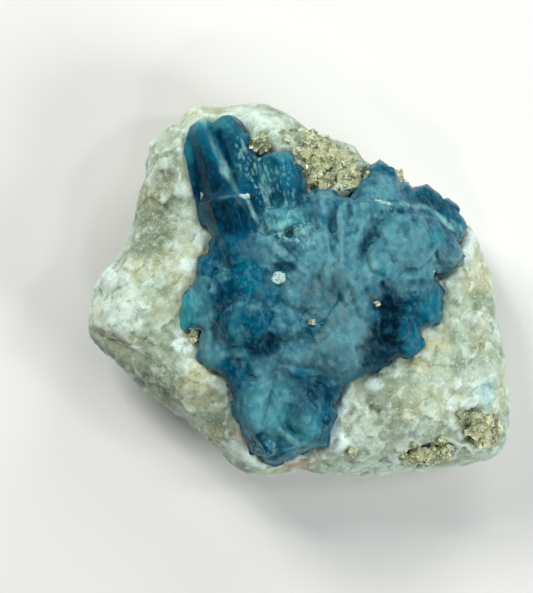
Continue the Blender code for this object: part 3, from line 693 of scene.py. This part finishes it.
# the crystal's own dark navy patches, and painted shade: cleft, darkMiddle, slit, slotMiddle, underStep,
# underBlock and rightCleft paint shade into clefts and hollows, blockShadow and shadowDown paint the block's
# shadow
inkAndShadeSpots = {
    "leftPrism": (204, 175, 14, 36, 21, 0.85),
    "middlePrism": (234, 160, 11, 34, 21, 0.54),
    "prismFoot": (232, 216, 20, 16, 21, 0.85),
    "leftFlank": (203, 210, 10, 20, 21, 0.36),
    "darkRight": (388, 312, 14, 24, 0, 1.0),
    "darkRightLow": (378, 350, 19, 22, 0, 0.9),
    "darkMiddle": (285, 268, 14, 7, 0, 0.65),
    "cleft": (284, 250, 12, 4, -35, 0.65),
    "lowMiddle": (258, 345, 20, 12, 20, 0.6),
    "striped": (253, 445, 9, 10, 40, 0.2),
    "rim": (433, 202, 18, 9, -28, 0.75),
    "leftBlue": (226, 300, 10, 34, -10, 0.3),
    "rightOfCentre": (338, 285, 8, 18, 0, 0.36),
    "blockShadow": (366, 243, 5, 24, -30, 0.43),
    "blockSpot": (402, 229, 7, 6, 0, 0.36),
    "midGrey": (318, 292, 20, 16, -20, 0.30),
    "midGreyLow": (322, 362, 18, 10, -15, 0.35),
    "wedge": (272, 342, 9, 12, 0, 0.5),
    "shadowDown": (368, 232, 6, 22, -22, 0.30),
    "overBottom": (300, 384, 26, 6, -8, 0.5),
    "bottomMid": (291, 424, 9, 22, -12, 0.6),
    "leftColumn": (236, 290, 8, 26, -5, 0.25),
    "besideLobe": (396, 356, 7, 12, -20, 0.4),
    "underBlock": (398, 284, 22, 5, 5, 0.3),
    "rightCleft": (424, 282, 14, 4, 0, 0.4),
    "slotMiddle": (331, 240, 3, 22, 5, 0.3),
    "leftFoot": (222, 372, 8, 12, 20, 0.3),
    "belowSpeck": (305, 338, 10, 10, 0, 0.43),
    "bottomEdgeDark": (328, 398, 6, 10, 0, 0.43),
    "slit": (349, 210, 3, 9, 10, 0.58),
    "underStep": (293, 231, 10, 3, 12, 0.58),
    "centreLeft": (232, 330, 8, 14, 0, 0.2),
}
tealSpots = {
    "leftLobe": (183, 316, 11, 18, 0, 1.4),
    "rim": (434, 205, 16, 10, -25, 1.2),
    "hornTip": (378, 164, 9, 9, 0, 0.7),
    "deepCentre": (250, 276, 14, 20, 0, 1.0),
    "lowLobe": (414, 343, 16, 14, 0, 1.2),
    "rightLobe": (432, 305, 16, 18, 0, 0.6),
    "deepBottom": (290, 450, 10, 7, 0, 0.8),
    "tip": (268, 462, 9, 12, 0, 0.6),
    "blockEdge": (436, 237, 9, 9, 0, 0.7),
    "stub": (286, 172, 10, 16, 15, 0.6),
    "prismLeft": (188, 150, 7, 22, 15, 0.7),
    "prismCentre": (238, 195, 10, 14, 20, 0.4),
    "bottomLeft": (244, 405, 8, 24, 0, 0.4),
    "notch": (350, 378, 7, 8, 0, 0.7),
    "aboveSpeck": (372, 290, 10, 6, 0, 0.5),
    "cyanFleck": (381, 273, 4, 4, 0, 0.9),
    "edgeLow": (206, 262, 8, 10, 0, 0.5),
    "besideRim": (405, 195, 10, 6, 0, 0.5),
}
# painted glow of light through the thin lobe, tips and facets, and painted highlights on the stub; the cyan
# fleck is the crystal's own
paintedGlowSpots = {
    "leftLobe": (184, 312, 9, 17, 0, 1.0),
    "tipLeft": (200, 124, 10, 7, 0, 0.5),
    "tipRight": (222, 121, 11, 7, 0, 0.45),
    "leftFlank": (187, 150, 5, 14, 15, 0.4),
    "stubTop": (284, 158, 12, 5, 0, 0.5),
    "stubFace": (266, 178, 7, 16, 8, 0.4),
    "steps": (284, 222, 14, 8, 0, 0.5),
    "bottomLeft": (252, 404, 8, 18, 0, 0.3),
    "bottomFacet": (272, 420, 8, 8, 0, 0.1),
    "belowFacet": (310, 432, 7, 12, 0, 0.4),
    "deepBottom": (292, 449, 7, 4, 0, 0.4),
    "cyan": (379, 272, 4, 3, 0, 0.7),
    "leftLow": (210, 358, 11, 12, 0, 0.3),
    "leftMiddle": (236, 318, 5, 16, -15, 0.35),
    "lobe": (434, 305, 8, 14, 0, 0.3),
    "blockEdge": (434, 238, 9, 8, 0, 0.45),
    "lowMiddle": (290, 385, 14, 8, 0, 0.15),
    "left": (203, 300, 8, 22, 0, 0.35),
    "stub": (277, 182, 20, 26, 12, 0.1),
    "underStub": (284, 218, 22, 10, 0, 0.3),
    "bottom": (285, 425, 30, 26, 0, 0.2),
}
smokeSpots = {
    "middle": (332, 298, 30, 34, -10, 0.7),
    "low": (332, 352, 42, 18, -8, 0.55),
    "besideDark": (364, 340, 13, 26, -10, 0.6),
    "upper": (300, 282, 26, 10, 0, 0.3),
    "block": (412, 250, 16, 20, 0, 0.35),
    "greenBlock": (450, 256, 14, 14, 0, 0.45),
    "aboveDark": (384, 290, 18, 10, 0, 0.4),
    "leftLow": (208, 345, 14, 26, 0, 0.4),
    "bottom": (300, 400, 14, 22, 0, 0.25),
    "underCrack": (256, 250, 16, 10, 0, 0.3),
    "lowLeft": (276, 368, 20, 12, 0, 0.3),
}
# painted glints: places where pale specks stand in for the crystals' sparkle
paintedGlintSpots = {
    "stub": (264, 184, 9, 28, 8, 0.9),
    "stubRight": (284, 182, 9, 20, 8, 0.45),
    "steps": (285, 226, 22, 14, 0, 0.9),
    "thirdPrism": (244, 160, 6, 22, 18, 0.6),
    "rimChips": (452, 228, 9, 5, -40, 0.8),
    "bottom": (262, 445, 14, 12, 0, 0.6),
    "ridge": (226, 172, 5, 12, 23, 0.5),
    "smallStub": (300, 240, 14, 14, 0, 0.7),
    "block": (390, 256, 5, 4, 0, 0.6),
}
# crossCrack, creamSeam and rimChips are a white calcite patch, a seam and chips of the crystal's own; the
# ridge lines, the light seam along the rim's edge, the step chips, the tips' glow and the stub's glint are
# painted highlights
seamAndHighlightSpots = {
    "prismRidge": (222, 162, 3.2, 40, 26, 0.45),
    "prismRidgeGlow": (226, 172, 4.5, 10, 26, 0.4),
    "ridgeRight": (253, 214, 2.2, 13, 22, 0.8),
    "stubRidge": (262, 184, 1.4, 20, 8, 0.45),
    "stubRidge2": (267, 192, 1.2, 15, 8, 0.45),
    "stubGlint": (277, 174, 2.4, 2.4, 0, 0.6),
    "lightSeam": (408, 206, 24, 2.4, -4, 0.6),
    "seamRight": (438, 216, 10, 2.4, -38, 0.7),
    "rimChips": (453, 226, 10, 4, -40, 0.8),
    "creamSeam": (438, 270, 2.2, 14, 22, 0.5),
    "lowRidge": (288, 436, 15, 3, -38, 0.7),
    "ridge3": (282, 251, 17, 2.2, -38, 0.6),
    "stepChips": (284, 226, 7, 4, 20, 0.8),
    "crossCrack": (230, 198, 14, 1.2, 8, 0.2),
    "tipGlow": (199, 121, 7, 4, 0, 0.5),
    "a3Ridge": (244, 148, 1.5, 9, 20, 0.5),
    "palePatch": (370, 268, 8, 4, 20, 0.6),
}
# ridges and clefts, in millimetres up or down
reliefSpots = {
    "stepTop": (279, 214, 15, 5, -8, 0.22),
    "stepChip": (286, 227, 9, 4, 15, 0.28),
    "stepLip": (295, 231, 11, 3, 30, -0.26),
    "smallStub": (302, 241, 8, 10, 20, 0.32),
    "cleft": (287, 247, 15, 3.5, -38, -0.32),
    "cleftRidge": (278, 254, 14, 3, -38, 0.22),
    "hollow": (286, 269, 12, 5, -10, -0.28),
    "besideRidge": (258, 212, 2.5, 13, 22, -0.35),
    "ridge": (252, 214, 2.5, 12, 22, 0.15),
    "blade1": (323, 226, 4.5, 30, 6, 0.10),
    "slot1": (331, 236, 3, 26, 5, -0.16),
    "blade2": (339, 240, 4.5, 28, 3, 0.12),
    "slot2": (348, 212, 3, 14, 0, -0.30),
    "blade3": (356, 232, 4.5, 34, -8, 0.12),
    "slot0": (313, 222, 3, 20, 8, -0.14),
    "hornSpine": (378, 180, 4, 18, 0, 0.20),
    "hornLeft": (357, 188, 4, 15, -44, -0.25),
    "hornRight": (397, 179, 4, 16, 34, -0.20),
    "blockShadow": (373, 236, 4, 26, -25, -0.22),
    "underSeam": (408, 213, 28, 3, -4, -0.22),
    "block": (408, 238, 20, 14, 25, 0.07),
    "blockSplit": (431, 243, 3, 17, 15, -0.28),
    "creamSeam": (438, 271, 3, 13, 22, -0.25),
    "lowRidge": (288, 434, 15, 3, -40, 0.22),
    "lowHollow": (289, 450, 11, 4, 0, -0.25),
    "split": (266, 410, 3, 24, -15, -0.22),
    "rightSplit": (312, 405, 3, 26, 8, -0.20),
    "crossing": (325, 318, 3, 26, -35, -0.20),
    "lowCrossing": (300, 366, 24, 3, -12, -0.22),
    "lobeSplit": (412, 312, 3, 26, -12, -0.28),
    "leftSplit": (216, 325, 3, 30, -8, -0.22),
    "midSplit": (352, 300, 3, 22, 20, -0.22),
}
boldSpots = {
    "steps": (286, 232, 28, 34, 0, 0.9),
    "blades": (340, 232, 24, 42, 0, 0.5),
    "block": (408, 240, 32, 30, 0, 0.5),
    "bottom": (280, 425, 34, 40, 0, 0.7),
}
prismSpots = {
    "long": (220, 165, 34, 62, 20, 1.0),
    "foot": (232, 216, 24, 24, 20, 0.9),
    "stub": (277, 182, 24, 30, 12, 1.0),
}
# what stands clear of the marble at the border
standingSpots = {
    "horn": (385, 178, 34, 26, 0, 1.0),
    "rim": (440, 212, 40, 30, -40, 1.0),
    "upperLeft": (215, 160, 50, 70, 20, 1.0),
}
pits = {
    "pyrite_speck_centre": 0.85 * mm, "pyrite_speck_right": 0.85 * mm, "calcite_ridge_sliver": 1.25 * mm,
    "calcite_centre_grain": 1.15 * mm, "calcite_cleft_grain": 1.15 * mm,
}
pitFilling = {"depth": 1.6 * mm, "ringDepth": 0.9 * mm, "ringWidth": 1.25}


def fillPit(where, centre, reach):
    # lifts the bed round a small inclusion to the height of the crystal round it
    pit = pitFilling
    away = np.hypot(where[:, 0] - centre.x, where[:, 1] - centre.y)
    level = where[:, 2] > centre.z - pit["ringDepth"]
    ring = where[(away > reach) & (away < pit["ringWidth"] * reach) & level]
    inside = np.nonzero((away <= reach) & (where[:, 2] > centre.z - pit["depth"]))[0]
    if len(ring):
        lifted = carried(where[inside, :2], ring[:, :2], ring[:, 2])
        where[inside, 2] = np.maximum(where[inside, 2], lifted)


def between(grid, place):
    # a grid's value at places between its points
    place = np.clip(place, 0, np.array(grid.shape) - 1.001)
    cell = place.astype(int)
    (i, j), (u, v) = cell.T, (place - cell).T
    near = grid[i, j] * (1 - u) + grid[i + 1, j] * u
    far = grid[i, j + 1] * (1 - u) + grid[i + 1, j + 1] * u
    return near * (1 - v) + far * v


def shallow(where, spread, depth, flatten):
    # Away from its border the top is drawn by this share toward the mean height round it, and the gaps
    # between the crystals are lifted until they lie at most this deep under it.
    step = heightGrid["step"]
    low = where.min(0)
    columns, rows = ((where.max(0) - low)[:2] / step).astype(int) + 2
    place = (where - low)[:, :2] / step
    cell = place.astype(int)
    top = np.full((columns, rows), -1.0)
    np.maximum.at(top, (cell[:, 0], cell[:, 1]), where[:, 2])
    known = (top >= 0).astype(float)
    mean = top * known
    share = known.copy()
    for _ in range(round((spread / step) ** 2 / 2)):
        for grid in (mean, share):
            padded = np.pad(grid, 1)
            beside = padded[2:, 1:-1] + padded[:-2, 1:-1] + padded[1:-1, 2:] + padded[1:-1, :-2]
            grid[:] = (4 * grid + beside) / 8
    mean /= np.maximum(share, 0.001)
    level = between(mean, place - 0.5)
    start, width = heightGrid["border"]
    within = np.clip((between(share, place - 0.5) - start) / width, 0, 1)
    atBorder, inside = heightGrid["seenDepth"]
    shown = where[:, 2] > top[cell[:, 0], cell[:, 1]] - (atBorder + inside * within)
    drawn = where[:, 2] + (level - where[:, 2]) * flatten * within
    deepest = level - depth * within - heightGrid["borderDepth"] * (1 - within)
    where[:, 2] = np.where(shown, np.maximum(drawn, deepest), where[:, 2])
    return within


def alongPrisms(where):
    # places measured across the prisms, along them and upwards
    axis = np.array([*afghanite["axis"], 0.0])
    across = np.array([-axis[1], axis[0], 0.0])
    return np.stack([where @ across, where @ axis, where[:, 2]], 1)


def lowerCrystals(where, prisms, stoneTree):
    blue = afghanite
    for name, reach in pits.items():
        low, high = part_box(name)
        fillPit(where, (low + high) / 2, reach)
    bold = np.clip(patches(where, boldSpots, 0), 0, 1)
    standing = np.clip(patches(where, standingSpots, 0), 0, 1)
    spread, depth = blue["groove"]
    depth = depth * (1 + blue["boldGrooves"] * bold)
    within = shallow(where, spread, depth, blue["flatten"] * (1 - prisms) * (1 - bold))
    ground = np.array([(under(stoneTree, x, y)[0] or Vector()).z for x, y, z in where])
    thick = np.clip(where[:, 2] - ground, 0, blue["thickest"])
    where[:, 2] -= thick * blue["thinEdge"] * (1 - within) * (1 - prisms) * (1 - standing)


def carveCrystals(mesh, prisms, local, wobble):
    # striations on the prisms, broken faces of two sizes, and the ridges and clefts named by place
    blue = afghanite
    where = points(mesh)
    normal = points(mesh, "normal")
    onFaces, onSteps = blue["smoother"]
    size, depth, length = blue["striations"]
    out = prisms * depth * noiseAt(local / np.array([size, length, size]), 1.0, octaves=2, seed=5.0)
    size, lean, step = blue["faces"]
    slope, lift = brokenFaces(local, size, 17, (0.8, 1.25, 1.0))
    out += (1 - onFaces * prisms) * (lean * slope + step * lift)
    size, lean, step = blue["steps"]
    slope, lift = brokenFaces(local, size, 29, (0.75, 1.3, 1.0))
    out += (1 - onSteps * prisms) * (lean * slope + step * lift)
    size, depth = blue["etching"]
    out += depth * noiseAt(where, size, octaves=2, seed=8.0)
    share, edge = blue["relief"]
    out += patches(where, reliefSpots, share * wobble, edge) * mm * np.clip(normal[:, 2], 0, 1)
    edges = edgesOf(mesh)
    for _ in range(blue["worn"]):
        out = neighbourMean(out, edges)
    setPoints(mesh, keptInside(where + normal * out[:, None], blue["topMargin"]))


def paintCrystals(mesh, prisms, local, wobble):
    clouds = blueClouds
    where = points(mesh)
    mottle = noiseAt(where, clouds["mottleSize"], seed=31.0)
    grain = noiseAt(local / np.array(clouds["grainStretch"]), clouds["grainSize"], seed=41.0)
    rows = noiseAt(local / np.array(clouds["rowStretch"]), clouds["rowSize"], octaves=2, seed=51.0)
    above, width = clouds["rowShare"]
    rows = np.clip((rows - above) / width, 0, 1)
    # deep navy of the crystal, with painted shade in clefts and hollows and the block's painted shadow
    inkAndShade = patches(where, inkAndShadeSpots, wobble) + clouds["inkGrain"] * grain - clouds["inkLess"]
    inkAndShade = np.clip(inkAndShade, 0, 1)
    teal = patches(where, tealSpots, wobble) + np.clip(-mottle - clouds["tealAbove"], 0, 0.4)
    teal = np.clip(teal, 0, 1)
    veil = patches(where, veilSpots, wobble) + clouds["veilMottle"] * mottle + clouds["veilGrain"] * grain
    veil = np.clip(veil, 0, 1) * (1 - inkAndShade) * (1 - teal) * (1 - 0.9 * prisms)
    # painted glints, laid in rows of pale specks
    glintEverywhere = clouds["paintedGlint"] * (1 - prisms) * (1 - inkAndShade) + clouds["leastPaintedGlint"]
    paint(mesh, "inkAndShade", inkAndShade)
    paint(mesh, "teal", teal)
    paint(mesh, "veil", veil)
    paint(mesh, "smoke", patches(where, smokeSpots, wobble) * (0.8 - 1.2 * grain) * (1 - 0.7 * inkAndShade))
    # painted glow through thin crystal, and painted highlights on the stub
    paint(mesh, "glow", patches(where, paintedGlowSpots, wobble) * (0.9 + 0.5 * grain))
    paint(mesh, "paintedGlint", (patches(where, paintedGlintSpots, wobble) + glintEverywhere) * rows)
    # pale seams of the crystal's own, and painted highlights along ridges and edges
    paint(mesh, "seamAndHighlight", patches(where, seamAndHighlightSpots, wobble, edge=1.3) * (0.75 + 0.9 * grain))
    passes, height = clouds["ridges"]
    paint(mesh, "ridges", 0.5 + bulge(mesh, passes) / height)


def buildCrystals(stoneTree):
    print("crystals")
    obj = newObject("afghaniteCrystals", meshOf(welded("afghanite_cluster"), "afghaniteCrystals"))
    mesh = remeshed(obj, afghanite["voxel"], smoothing=1)
    where = points(mesh)
    prisms = np.clip(patches(where, prismSpots, 0), 0, 1)
    lowerCrystals(where, prisms, stoneTree)
    setPoints(mesh, where)
    local = alongPrisms(where)
    wobble = blueClouds["wobble"] * noiseAt(where, blueClouds["wobbleSize"], seed=21.0)
    carveCrystals(mesh, prisms, local, wobble)
    paintCrystals(mesh, prisms, local, wobble)
    mesh.materials.append(crystalMaterial())
    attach(obj, "root")
    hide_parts("afghanite_cluster")
    return obj


def crystalMaterial():
    blue = afghanite
    material, tree, shader = newMaterial("satin afghanite")
    haze = noiseNode(tree, *blue["hazeNoise"])
    cloud = noiseNode(tree, *blue["cloudNoise"])
    fine = noiseNode(tree, *blue["fineNoise"])
    ridges = attribute(tree, "ridges")
    milky = attribute(tree, "veil")
    veil = maths(tree, "MULTIPLY", milky, ranged(tree, haze, 0.28, 0.62, 0.50, 1.0))
    pale = maths(tree, "MULTIPLY", veil, ranged(tree, haze, 0.52, 0.75, 0.0, 0.7))
    # the ridges painted pale: partly frosted wear, partly painted highlight on the edges
    worn = maths(tree, "MULTIPLY", ranged(tree, ridges, 0.62, 1.1), ranged(tree, milky, 0.0, 0.8, 0.01, 0.36))
    # painted shade: the grooves between the ridges are darkened toward navy
    grooveShade = maths(tree, "MULTIPLY", ranged(tree, ridges, 0.40, 0.10), 0.55)
    colour = mixed(tree, ranged(tree, cloud, 0.36, 0.64), blue["navy"], blue["blue"])
    layers = (
        (attribute(tree, "teal"), "teal"),
        (veil, "veil"),
        (pale, "pale"),
        (attribute(tree, "smoke"), "smoke"),
        # deep navy, with painted shade in clefts and the block's painted shadow
        (attribute(tree, "inkAndShade"), "inkAndShade"),
        (worn, "pale"),
        (grooveShade, "navy"),
        # painted glow through thin crystal, and painted highlights
        (attribute(tree, "glow"), "glow"),
        # pale seams, and painted highlights on ridges and edges
        (attribute(tree, "seamAndHighlight"), "seamAndHighlight"),
        # painted glints
        (attribute(tree, "paintedGlint"), "seamAndHighlight"),
    )
    for share, tint in layers:
        colour = mixed(tree, share, colour, blue[tint])
    tree.links.new(colour, shader.inputs["Base Color"])
    tree.links.new(ranged(tree, milky, 0.0, 0.8, *blue["polish"]), shader.inputs["Roughness"])
    shader.inputs["Specular IOR Level"].default_value = blue["sheen"]
    shader.inputs["Specular Tint"].default_value = (*blue["tint"], 1)
    shader.inputs["Transmission Weight"].default_value = blue["transmission"]
    shader.inputs["IOR"].default_value = blue["ior"]
    absorption = node(tree, "VolumeAbsorption", Density=blue["density"])
    absorption.inputs["Color"].default_value = (*blue["absorbs"], 1)
    tree.links.new(absorption.outputs["Volume"], tree.nodes["Material Output"].inputs["Volume"])
    bumped(tree, shader, maths(tree, "ADD", fine, haze), blue["bump"])
    return material


# pyrite

pyrite = {
    "bevel": 0.022 * mm,
    "brass": (0.80, 0.84, 0.54),
    "bright": (1.0, 1.0, 0.78),
    "tarnish": (0.28, 0.34, 0.20),
    "metallic": 0.55,
    "bump": 0.02 * mm,
    "patchNoise": (0.9, 5, 0.65),
    "grainNoise": (0.20, 3, 0.6),
    # a larger power makes more of the cubes small, and each sinks or stands out by a share of its size
    "mostlySmall": 2.2,
    "sunk": (-0.15, 0.25),
    "mostTurn": 1.57,
    "missCounts": 0.02,
    "sides": (0.75, 1.25),
}
pyriteDust = {
    "cubes": 70,
    "size": (0.07 * mm, 0.17 * mm),
    "across": (-14 * mm, 15 * mm),
    "along": (-13 * mm, 13 * mm),
    "leastUp": 0.4,
}
nests = {
    "pyrite_druse": {"cubes": 215, "size": (0.12 * mm, 0.66 * mm), "spill": 0.40 * mm},
    "pyrite_corner_nest": {"cubes": 95, "size": (0.14 * mm, 0.48 * mm), "spill": 0.25 * mm},
    "pyrite_lower_band": {"cubes": 110, "size": (0.12 * mm, 0.38 * mm), "spill": 0.35 * mm},
    "pyrite_peak_grain": {"cubes": 24, "size": (0.14 * mm, 0.42 * mm), "spill": 0.05 * mm},
    "pyrite_rim_grain": {"cubes": 22, "size": (0.14 * mm, 0.44 * mm), "spill": 0.05 * mm},
    "pyrite_side_grain": {"cubes": 14, "size": (0.10 * mm, 0.28 * mm), "spill": 0.05 * mm},
    "pyrite_speck_centre": {"cubes": 3, "size": (0.10 * mm, 0.2 * mm), "spill": 0.0},
    "pyrite_speck_right": {"cubes": 3, "size": (0.10 * mm, 0.2 * mm), "spill": 0.0},
    "pyrite_speck_marble": {"cubes": 5, "size": (0.08 * mm, 0.2 * mm), "spill": 0.1 * mm},
    "pyrite_speck_lower": {"cubes": 8, "size": (0.10 * mm, 0.26 * mm), "spill": 0.1 * mm},
    "pyrite_speck_low_right": {"cubes": 10, "size": (0.10 * mm, 0.24 * mm), "spill": 0.2 * mm},
}


def addCube(bm, place, size, picker):
    axis = Vector((picker.gauss(0, 1), picker.gauss(0, 1), picker.gauss(0, 1))).normalized()
    turn = Matrix.Rotation(picker.uniform(0, pyrite["mostTurn"]), 4, axis)
    sides = Matrix.Diagonal([picker.uniform(*pyrite["sides"]) for _ in range(3)] + [1.0])
    bmesh.ops.create_cube(bm, size=size, matrix=Matrix.Translation(place) @ turn @ sides)


def cubePlace(own, low, high, spill, surface, picker):
    # a place on the nest's own solid, or within the spill beside it on the stone
    x = picker.uniform(low.x - spill, high.x + spill)
    y = picker.uniform(low.y - spill, high.y + spill)
    hit = under(own, x, y)[0]
    if hit is None:
        beside = own.find_nearest(Vector((x, y, (low.z + high.z) / 2)))[0]
        if (beside.xy - Vector((x, y))).length <= spill:
            hit = under(surface, x, y)[0]
    return hit


def buildPyrite(surface, crystals):
    print("pyrite")
    material = pyriteMaterial()
    for number, (name, nest) in enumerate(nests.items()):
        picker = random.Random(100 + number)
        bm = welded(name)
        own = BVHTree.FromBMesh(bm)
        low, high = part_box(name)
        small, large = nest["size"]
        made = 0
        while made < nest["cubes"]:
            hit = cubePlace(own, low, high, nest["spill"], surface, picker)
            if hit is None:
                # so that the loop ends
                made += pyrite["missCounts"]
                continue
            size = small + (large - small) * picker.random() ** pyrite["mostlySmall"]
            addCube(bm, hit + Vector((0, 0, picker.uniform(*pyrite["sunk"]) * size)), size, picker)
            made += 1
        finishCubes(bm, name.replace("_", "-") + "-cubes", material, name)
    dust = bmesh.new()
    picker = random.Random(7)
    for _ in range(pyriteDust["cubes"]):
        x, y = picker.uniform(*pyriteDust["across"]), picker.uniform(*pyriteDust["along"])
        hit, normal = under(surface, x, y)[:2]
        onMarble = hit is not None and under(crystals, x, y)[0] is None
        if onMarble and normal.z > pyriteDust["leastUp"]:
            addCube(dust, hit, picker.uniform(*pyriteDust["size"]), picker)
    finishCubes(dust, "pyrite-dust", material, None)


def finishCubes(bm, name, material, replaced):
    bmesh.ops.recalc_face_normals(bm, faces=bm.faces)
    obj = newObject(name, meshOf(bm, name))
    bevel = obj.modifiers.new("edges", "BEVEL")
    bevel.width = pyrite["bevel"]
    bevel.limit_method = "ANGLE"
    applied(obj)
    obj.data.materials.append(material)
    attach(obj, "root")
    if replaced:
        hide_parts(replaced)


def pyriteMaterial():
    material, tree, shader = newMaterial("brassy pyrite")
    patch = noiseNode(tree, *pyrite["patchNoise"])
    grain = noiseNode(tree, *pyrite["grainNoise"])
    colour = mixed(tree, ranged(tree, patch, 0.44, 0.60), pyrite["brass"], pyrite["tarnish"])
    colour = mixed(tree, ranged(tree, grain, 0.54, 0.64), colour, pyrite["bright"])
    tree.links.new(colour, shader.inputs["Base Color"])
    tree.links.new(ranged(tree, patch, 0.35, 0.62, 0.22, 0.55), shader.inputs["Roughness"])
    shader.inputs["Metallic"].default_value = pyrite["metallic"]
    bumped(tree, shader, grain, pyrite["bump"])
    return material


# calcite left between the crystals

calcite = {
    "dull": (0.34, 0.53, 0.50),
    "white": (0.58, 0.77, 0.73),
    "roughness": (0.35, 0.60),
    "glow": 0.3,
    "glowDepth": 0.4 * mm,
    "bump": 0.03 * mm,
    "sugarNoise": (0.15, 4, 0.6),
    "lumps": (0.55 * mm, 0.17 * mm),
    "faces": (0.3 * mm, 0.05 * mm, 0.03 * mm),
}
calciteGrains = {
    "calcite_ridge_sliver": {"grow": (1.05, 0.85, 0.8), "name": "calciteSliver"},
    "calcite_centre_grain": {"grow": (1.15, 0.95, 0.6), "name": "calciteGrain"},
    "calcite_cleft_grain": {"grow": (0.85, 0.80, 0.6), "name": "calciteCleft"},
}


def calciteMaterial():
    material, tree, shader = newMaterial("white calcite")
    sugar = noiseNode(tree, *calcite["sugarNoise"])
    colour = mixed(tree, ranged(tree, sugar, 0.4, 0.7), calcite["dull"], calcite["white"])
    tree.links.new(colour, shader.inputs["Base Color"])
    tree.links.new(ranged(tree, sugar, 0.3, 0.7, *calcite["roughness"]), shader.inputs["Roughness"])
    shader.inputs["Subsurface Weight"].default_value = calcite["glow"]
    shader.inputs["Subsurface Scale"].default_value = calcite["glowDepth"]
    bumped(tree, shader, sugar, calcite["bump"])
    return material


def buildCalcite():
    print("calcite")
    material = calciteMaterial()
    for name, grain in calciteGrains.items():
        mesh = meshOf(welded(name), grain["name"])
        low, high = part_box(name)
        centre = (low + high) / 2
        scaled = Matrix.Diagonal((*grain["grow"], 1))
        mesh.transform(Matrix.Translation(centre) @ scaled @ Matrix.Translation(-centre))
        obj = newObject(grain["name"], mesh)
        divide = obj.modifiers.new("divide", "SUBSURF")
        divide.levels = divide.render_levels = 4
        mesh = applied(obj)
        where = points(mesh)
        size, lump = calcite["lumps"]
        out = lump * noiseAt(where, size, seed=3.0)
        size, lean, step = calcite["faces"]
        slope, lift = brokenFaces(where, size, seed=5)
        out += lean * slope + step * lift
        setPoints(mesh, where + points(mesh, "normal") * out[:, None])
        mesh.shade_smooth()
        mesh.materials.append(material)
        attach(obj, "root")
        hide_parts(name)


# floor, light and camera

studio = {
    "floor": (0.78, 0.78, 0.76),
    "floorReach": 0.6,
    "floorRoughness": 0.85,
    "world": (0.90, 0.95, 1.0),
    "worldStrength": 0.10,
    "cameraHeight": 0.260,
    "sharpHeight": 0.0085,
    "sensor": 36.0,
    "clip": (0.01, 5.0),
    "lampsAimAt": (0, 0, 0.008),
    "frameHeight": 593 * photo["pixel"],
    "frameMiddle": (266.5, 296.5),
}
white = (1.0, 1.0, 1.0)
lamps = {
    "key": {"at": (-0.12, 0.15, 0.17), "size": 0.10, "power": 0.40, "colour": (1.0, 0.99, 0.96)},
    "fill": {"at": (0.19, -0.09, 0.14), "size": 0.12, "power": 0.38, "colour": (0.97, 0.99, 1.0)},
    "back": {"at": (0.09, 0.20, 0.15), "size": 0.12, "power": 0.20, "colour": white},
    "glintLeft": {"at": (-0.07, 0.12, 0.22), "size": 0.035, "power": 0.08, "colour": white},
    "glintRight": {"at": (0.14, 0.03, 0.20), "size": 0.035, "power": 0.07, "colour": white},
    "glintNear": {"at": (0.01, -0.15, 0.22), "size": 0.035, "power": 0.06, "colour": white},
}


def buildStudio():
    print("studio")
    bm = bmesh.new()
    bmesh.ops.create_grid(bm, x_segments=1, y_segments=1, size=studio["floorReach"])
    floor = newObject("floor", meshOf(bm, "floor"))
    material, _, shader = newMaterial("pale floor")
    shader.inputs["Base Color"].default_value = (*studio["floor"], 1)
    shader.inputs["Roughness"].default_value = studio["floorRoughness"]
    floor.data.materials.append(material)
    world = bpy.data.worlds.new("soft sky")
    world.use_nodes = True
    background = world.node_tree.nodes["Background"]
    background.inputs["Color"].default_value = (*studio["world"], 1)
    background.inputs["Strength"].default_value = studio["worldStrength"]
    bpy.context.scene.world = world
    for name, lamp in lamps.items():
        light = bpy.data.lights.new(name, "AREA")
        light.shape = "DISK"
        light.size = lamp["size"]
        light.energy = lamp["power"]
        light.color = lamp["colour"]
        obj = bpy.data.objects.new(name, light)
        # only the small lamps are mirrored in the crystals
        obj.visible_glossy = name.startswith("glint")
        obj.location = lamp["at"]
        toStone = Vector(studio["lampsAimAt"]) - obj.location
        obj.rotation_euler = toStone.to_track_quat("-Z", "Y").to_euler()
        bpy.context.scene.collection.objects.link(obj)
    camera = bpy.data.cameras.new("camera")
    camera.sensor_fit = "VERTICAL"
    camera.sensor_height = studio["sensor"]
    distance = studio["cameraHeight"] - studio["sharpHeight"]
    camera.lens = studio["sensor"] * distance / studio["frameHeight"]
    camera.clip_start, camera.clip_end = studio["clip"]
    obj = bpy.data.objects.new("camera", camera)
    obj.location = (*fromPhoto(*studio["frameMiddle"]), studio["cameraHeight"])
    bpy.context.scene.collection.objects.link(obj)
    bpy.context.scene.camera = obj
    bpy.context.scene.view_settings.view_transform = "Standard"


buildStudio()
stoneObject = buildMarble()
crystalObject = buildCrystals(treeOf([stoneObject.data]))
buildPyrite(treeOf([stoneObject.data, crystalObject.data]), treeOf([solid("afghanite_cluster")]))
buildCalcite()
